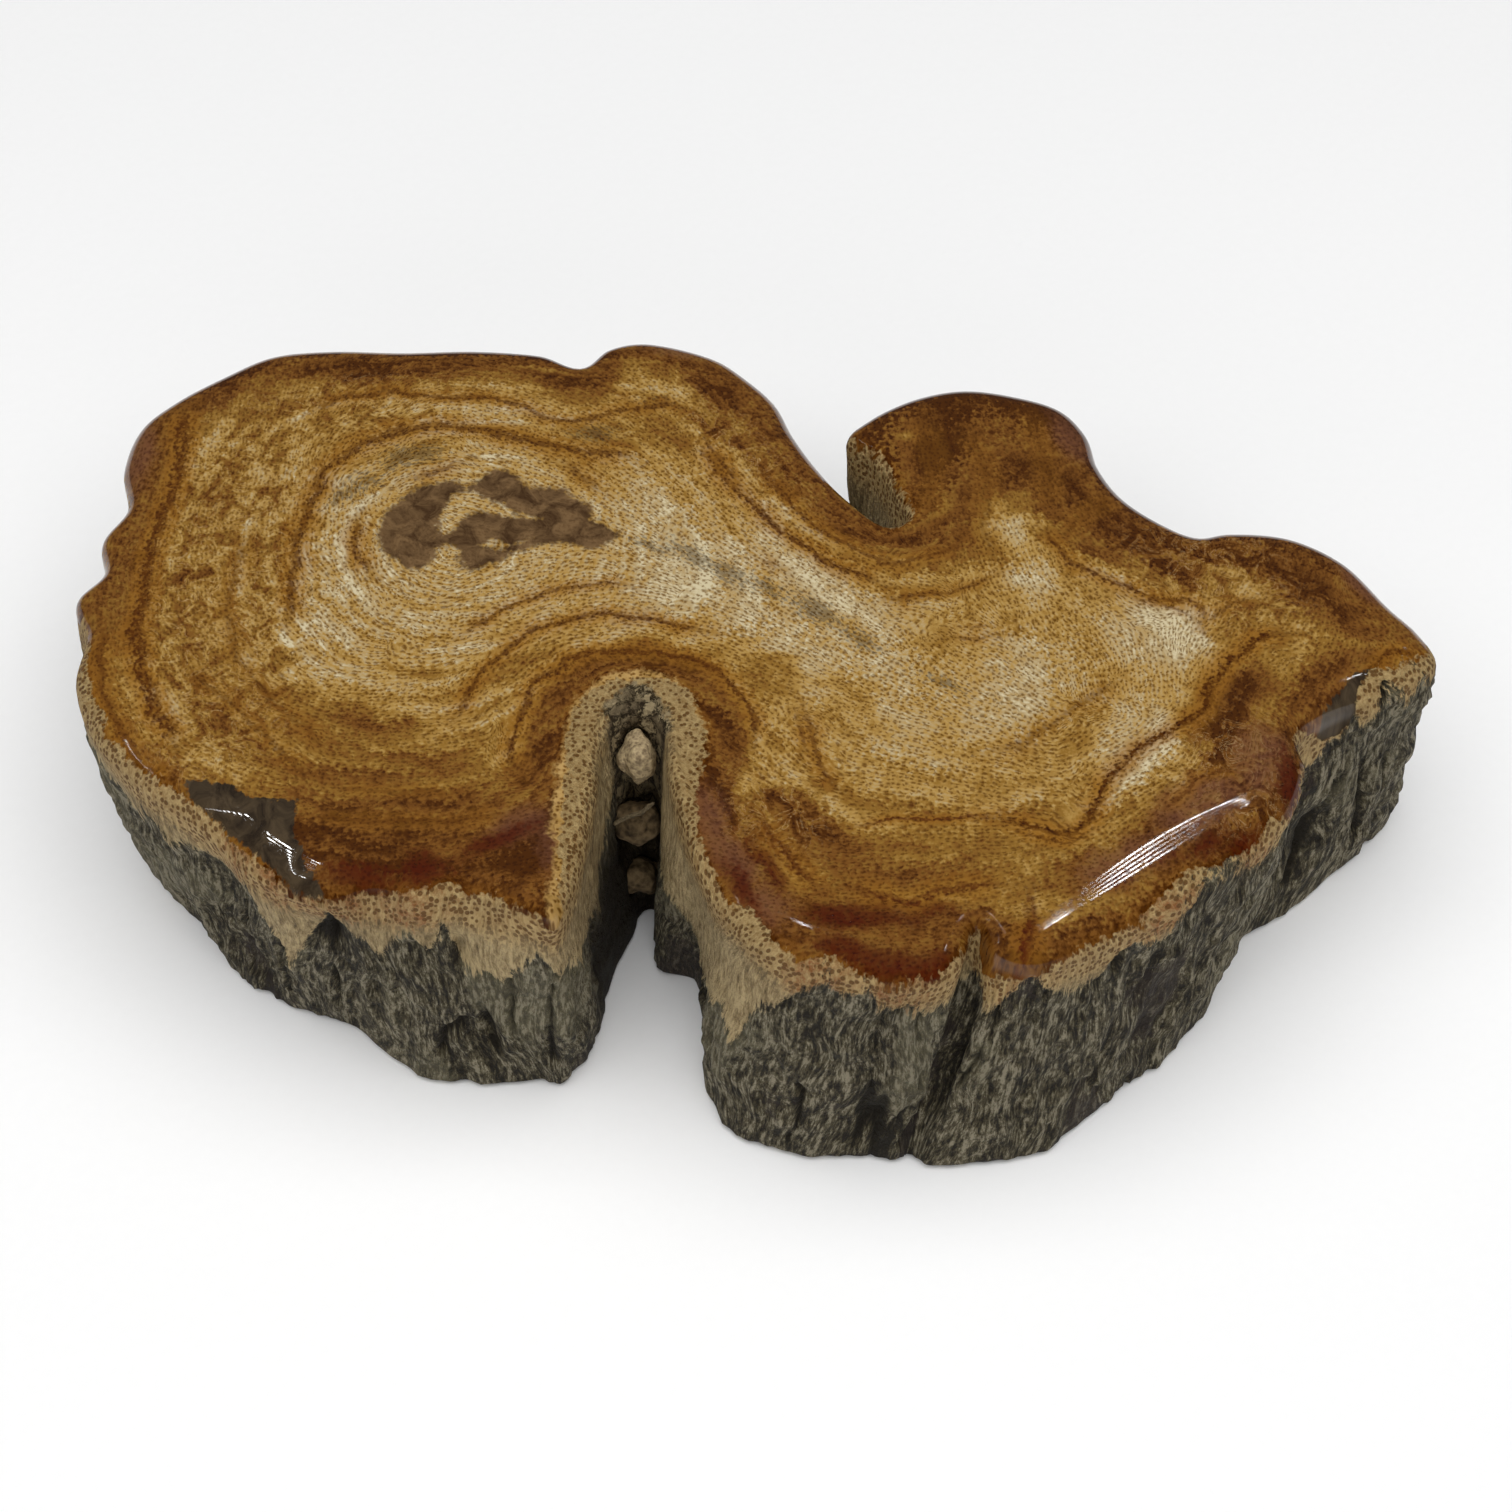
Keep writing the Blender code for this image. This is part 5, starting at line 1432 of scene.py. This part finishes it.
class MESH_OT_petrified_rootlet(bpy.types.Operator):
    """Make the rootlet that lies across the cleft"""

    bl_idname = "mesh.petrified_rootlet"
    bl_label = "Rootlet"

    def execute(self, context):
        points, faces = rootlet_surface(in_mm(context.scene.slice_sizes).rootlet_radius)
        colour = tuple(context.scene.slice_finish.rootlet)
        bark = rough_stone("dead rootlet, dry", tuple(0.45 * c for c in colour), colour, 0.3, 0.9)
        dress(make_piece("rootlet_twig", points, faces, bark), "rootlet", "rootlet")
        return {"FINISHED"}


def floor_surface():
    """A flat square grid under the slice, just below its foot so that the two never share a plane."""
    reach, drop, cells = 1500.0, 0.05, 8
    u = np.linspace(-reach, reach, cells + 1)
    x, y = np.meshgrid(u, u)
    corner = (np.arange(cells)[:, None] * (cells + 1) + np.arange(cells)).ravel()
    faces = np.stack([corner, corner + 1, corner + cells + 2, corner + cells + 1], axis=1)
    return np.stack([x.ravel(), y.ravel(), np.full(x.size, -drop)], axis=1), [faces]


def lamp(name, power, size, place, target):
    """A rectangular soft light at a place in metres, turned to its target and unseen in the polish."""
    data = bpy.data.lights.new(name, "AREA")
    data.shape = "RECTANGLE"
    data.size, data.size_y = size
    data.energy = power
    thing = bpy.data.objects.new(name, data)
    thing.location = place
    thing.rotation_euler = (Vector(target) - Vector(place)).to_track_quat("-Z", "Y").to_euler()
    thing.visible_glossy = False
    bpy.context.scene.collection.objects.link(thing)


def strip_light(name, start, end, width, bars, strength):
    """A row of bright bars over the slice, from start to end in plan, seen only as its glints.

    Each bar is a flat four-sided face: its share of an equal part of the row, and the width across it.
    """
    start, end = np.array(start), np.array(end)
    along = (end - start) / bars
    across = np.array((-along[1], along[0])) * 0.5 * width / np.linalg.norm(along)
    first = start + along * np.arange(bars)[:, None]
    last = first + STRIP_BAR_SHARE * along
    plan = np.stack([first - across, last - across, last + across, first + across], axis=1).reshape(-1, 2)
    points = np.hstack([plan, np.full((len(plan), 1), STRIP_HEIGHT)])
    material = bpy.data.materials.new("lamp glass, white")
    material.use_nodes = True
    tree = material.node_tree
    tree.nodes.remove(tree.nodes["Principled BSDF"])
    place = add(tree, "TexCoord").outputs["Object"]
    patchy = add(tree, "TexNoise", {"Vector": place, "Scale": 40.0})
    power = add(tree, "Math", (patchy, 2.0 * strength), operation="MULTIPLY")
    glow = add(tree, "Emission", {"Strength": power})
    tree.links.new(glow.outputs[0], tree.nodes["Material Output"].inputs["Surface"])
    strip = make_piece(name, points, [np.arange(len(points)).reshape(-1, 4)], material)
    strip.visible_camera = strip.visible_diffuse = strip.visible_shadow = False
    return strip


class SCENE_OT_petrified_stage(bpy.types.Operator):
    """Make the floor, the lights and the camera"""

    bl_idname = "scene.petrified_stage"
    bl_label = "Stage"

    def execute(self, context):
        scene = context.scene
        stage = scene.slice_stage
        floor = make_piece("floor", *floor_surface(), floor_paper(stage.floor))
        lamp("key_softbox", stage.key, (1.3, 1.0), (0.0, -0.12, 0.80), (0.0, -0.02, 0.0))
        lamp("front_fill", stage.fill, (1.2, 0.6), (0.0, -1.1, 0.45), (0.0, 0.0, 0.02))
        for name, start, end, width, bars in STRIPS:
            strip_light(name, start, end, width, bars, stage.strip)

        world = bpy.data.worlds.new("studio")
        world.use_nodes = True
        world.node_tree.nodes["Background"].inputs["Color"].default_value = (1.0, 1.0, 1.0, 1.0)
        world.node_tree.nodes["Background"].inputs["Strength"].default_value = stage.world
        scene.world = world
        scene.view_settings.view_transform = "Standard"

        camera = bpy.data.cameras.new("camera")
        camera.sensor_fit = "HORIZONTAL"
        camera.angle = stage.view_angle
        camera.clip_start, camera.clip_end = 0.01, 20.0
        viewer = bpy.data.objects.new("camera", camera)
        backward = Vector((0.0, -cos(stage.elevation), sin(stage.elevation)))
        viewer.location = Vector(CAMERA_TARGET) * MM + stage.distance * backward
        viewer.rotation_euler = (pi / 2 - stage.elevation, 0.0, 0.0)
        scene.collection.objects.link(viewer)
        scene.camera = viewer
        return {"FINISHED"}


class VIEW3D_PT_petrified_wood(bpy.types.Panel):
    bl_label = "Petrified Wood"
    bl_space_type = "VIEW_3D"
    bl_region_type = "UI"
    bl_category = "Petrified Wood"

    def draw(self, context):
        layout = self.layout
        for operator in OPERATORS:
            layout.operator(operator.bl_idname)
        for name in GROUPS:
            group = getattr(context.scene, name)
            box = layout.box()
            for setting in group.__annotations__:
                box.prop(group, setting)


OPERATORS = (MESH_OT_petrified_slice, MESH_OT_petrified_lumps, MESH_OT_petrified_rootlet,
             SCENE_OT_petrified_stage)
GROUPS = {"slice_sizes": SliceSizes, "slice_finish": SliceFinish, "slice_stage": StageSettings}
CLASSES = (*GROUPS.values(), *OPERATORS, VIEW3D_PT_petrified_wood)


def register():
    for one in CLASSES:
        bpy.utils.register_class(one)
    for name, group in GROUPS.items():
        setattr(bpy.types.Scene, name, bpy.props.PointerProperty(type=group))


def unregister():
    for name in GROUPS:
        delattr(bpy.types.Scene, name)
    for one in reversed(CLASSES):
        bpy.utils.unregister_class(one)


def main():
    """Registers the classes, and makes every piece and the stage."""
    register()
    bpy.ops.mesh.petrified_slice()
    bpy.ops.mesh.petrified_lumps()
    bpy.ops.mesh.petrified_rootlet()
    bpy.ops.scene.petrified_stage()


if __name__ == "__main__":
    main()
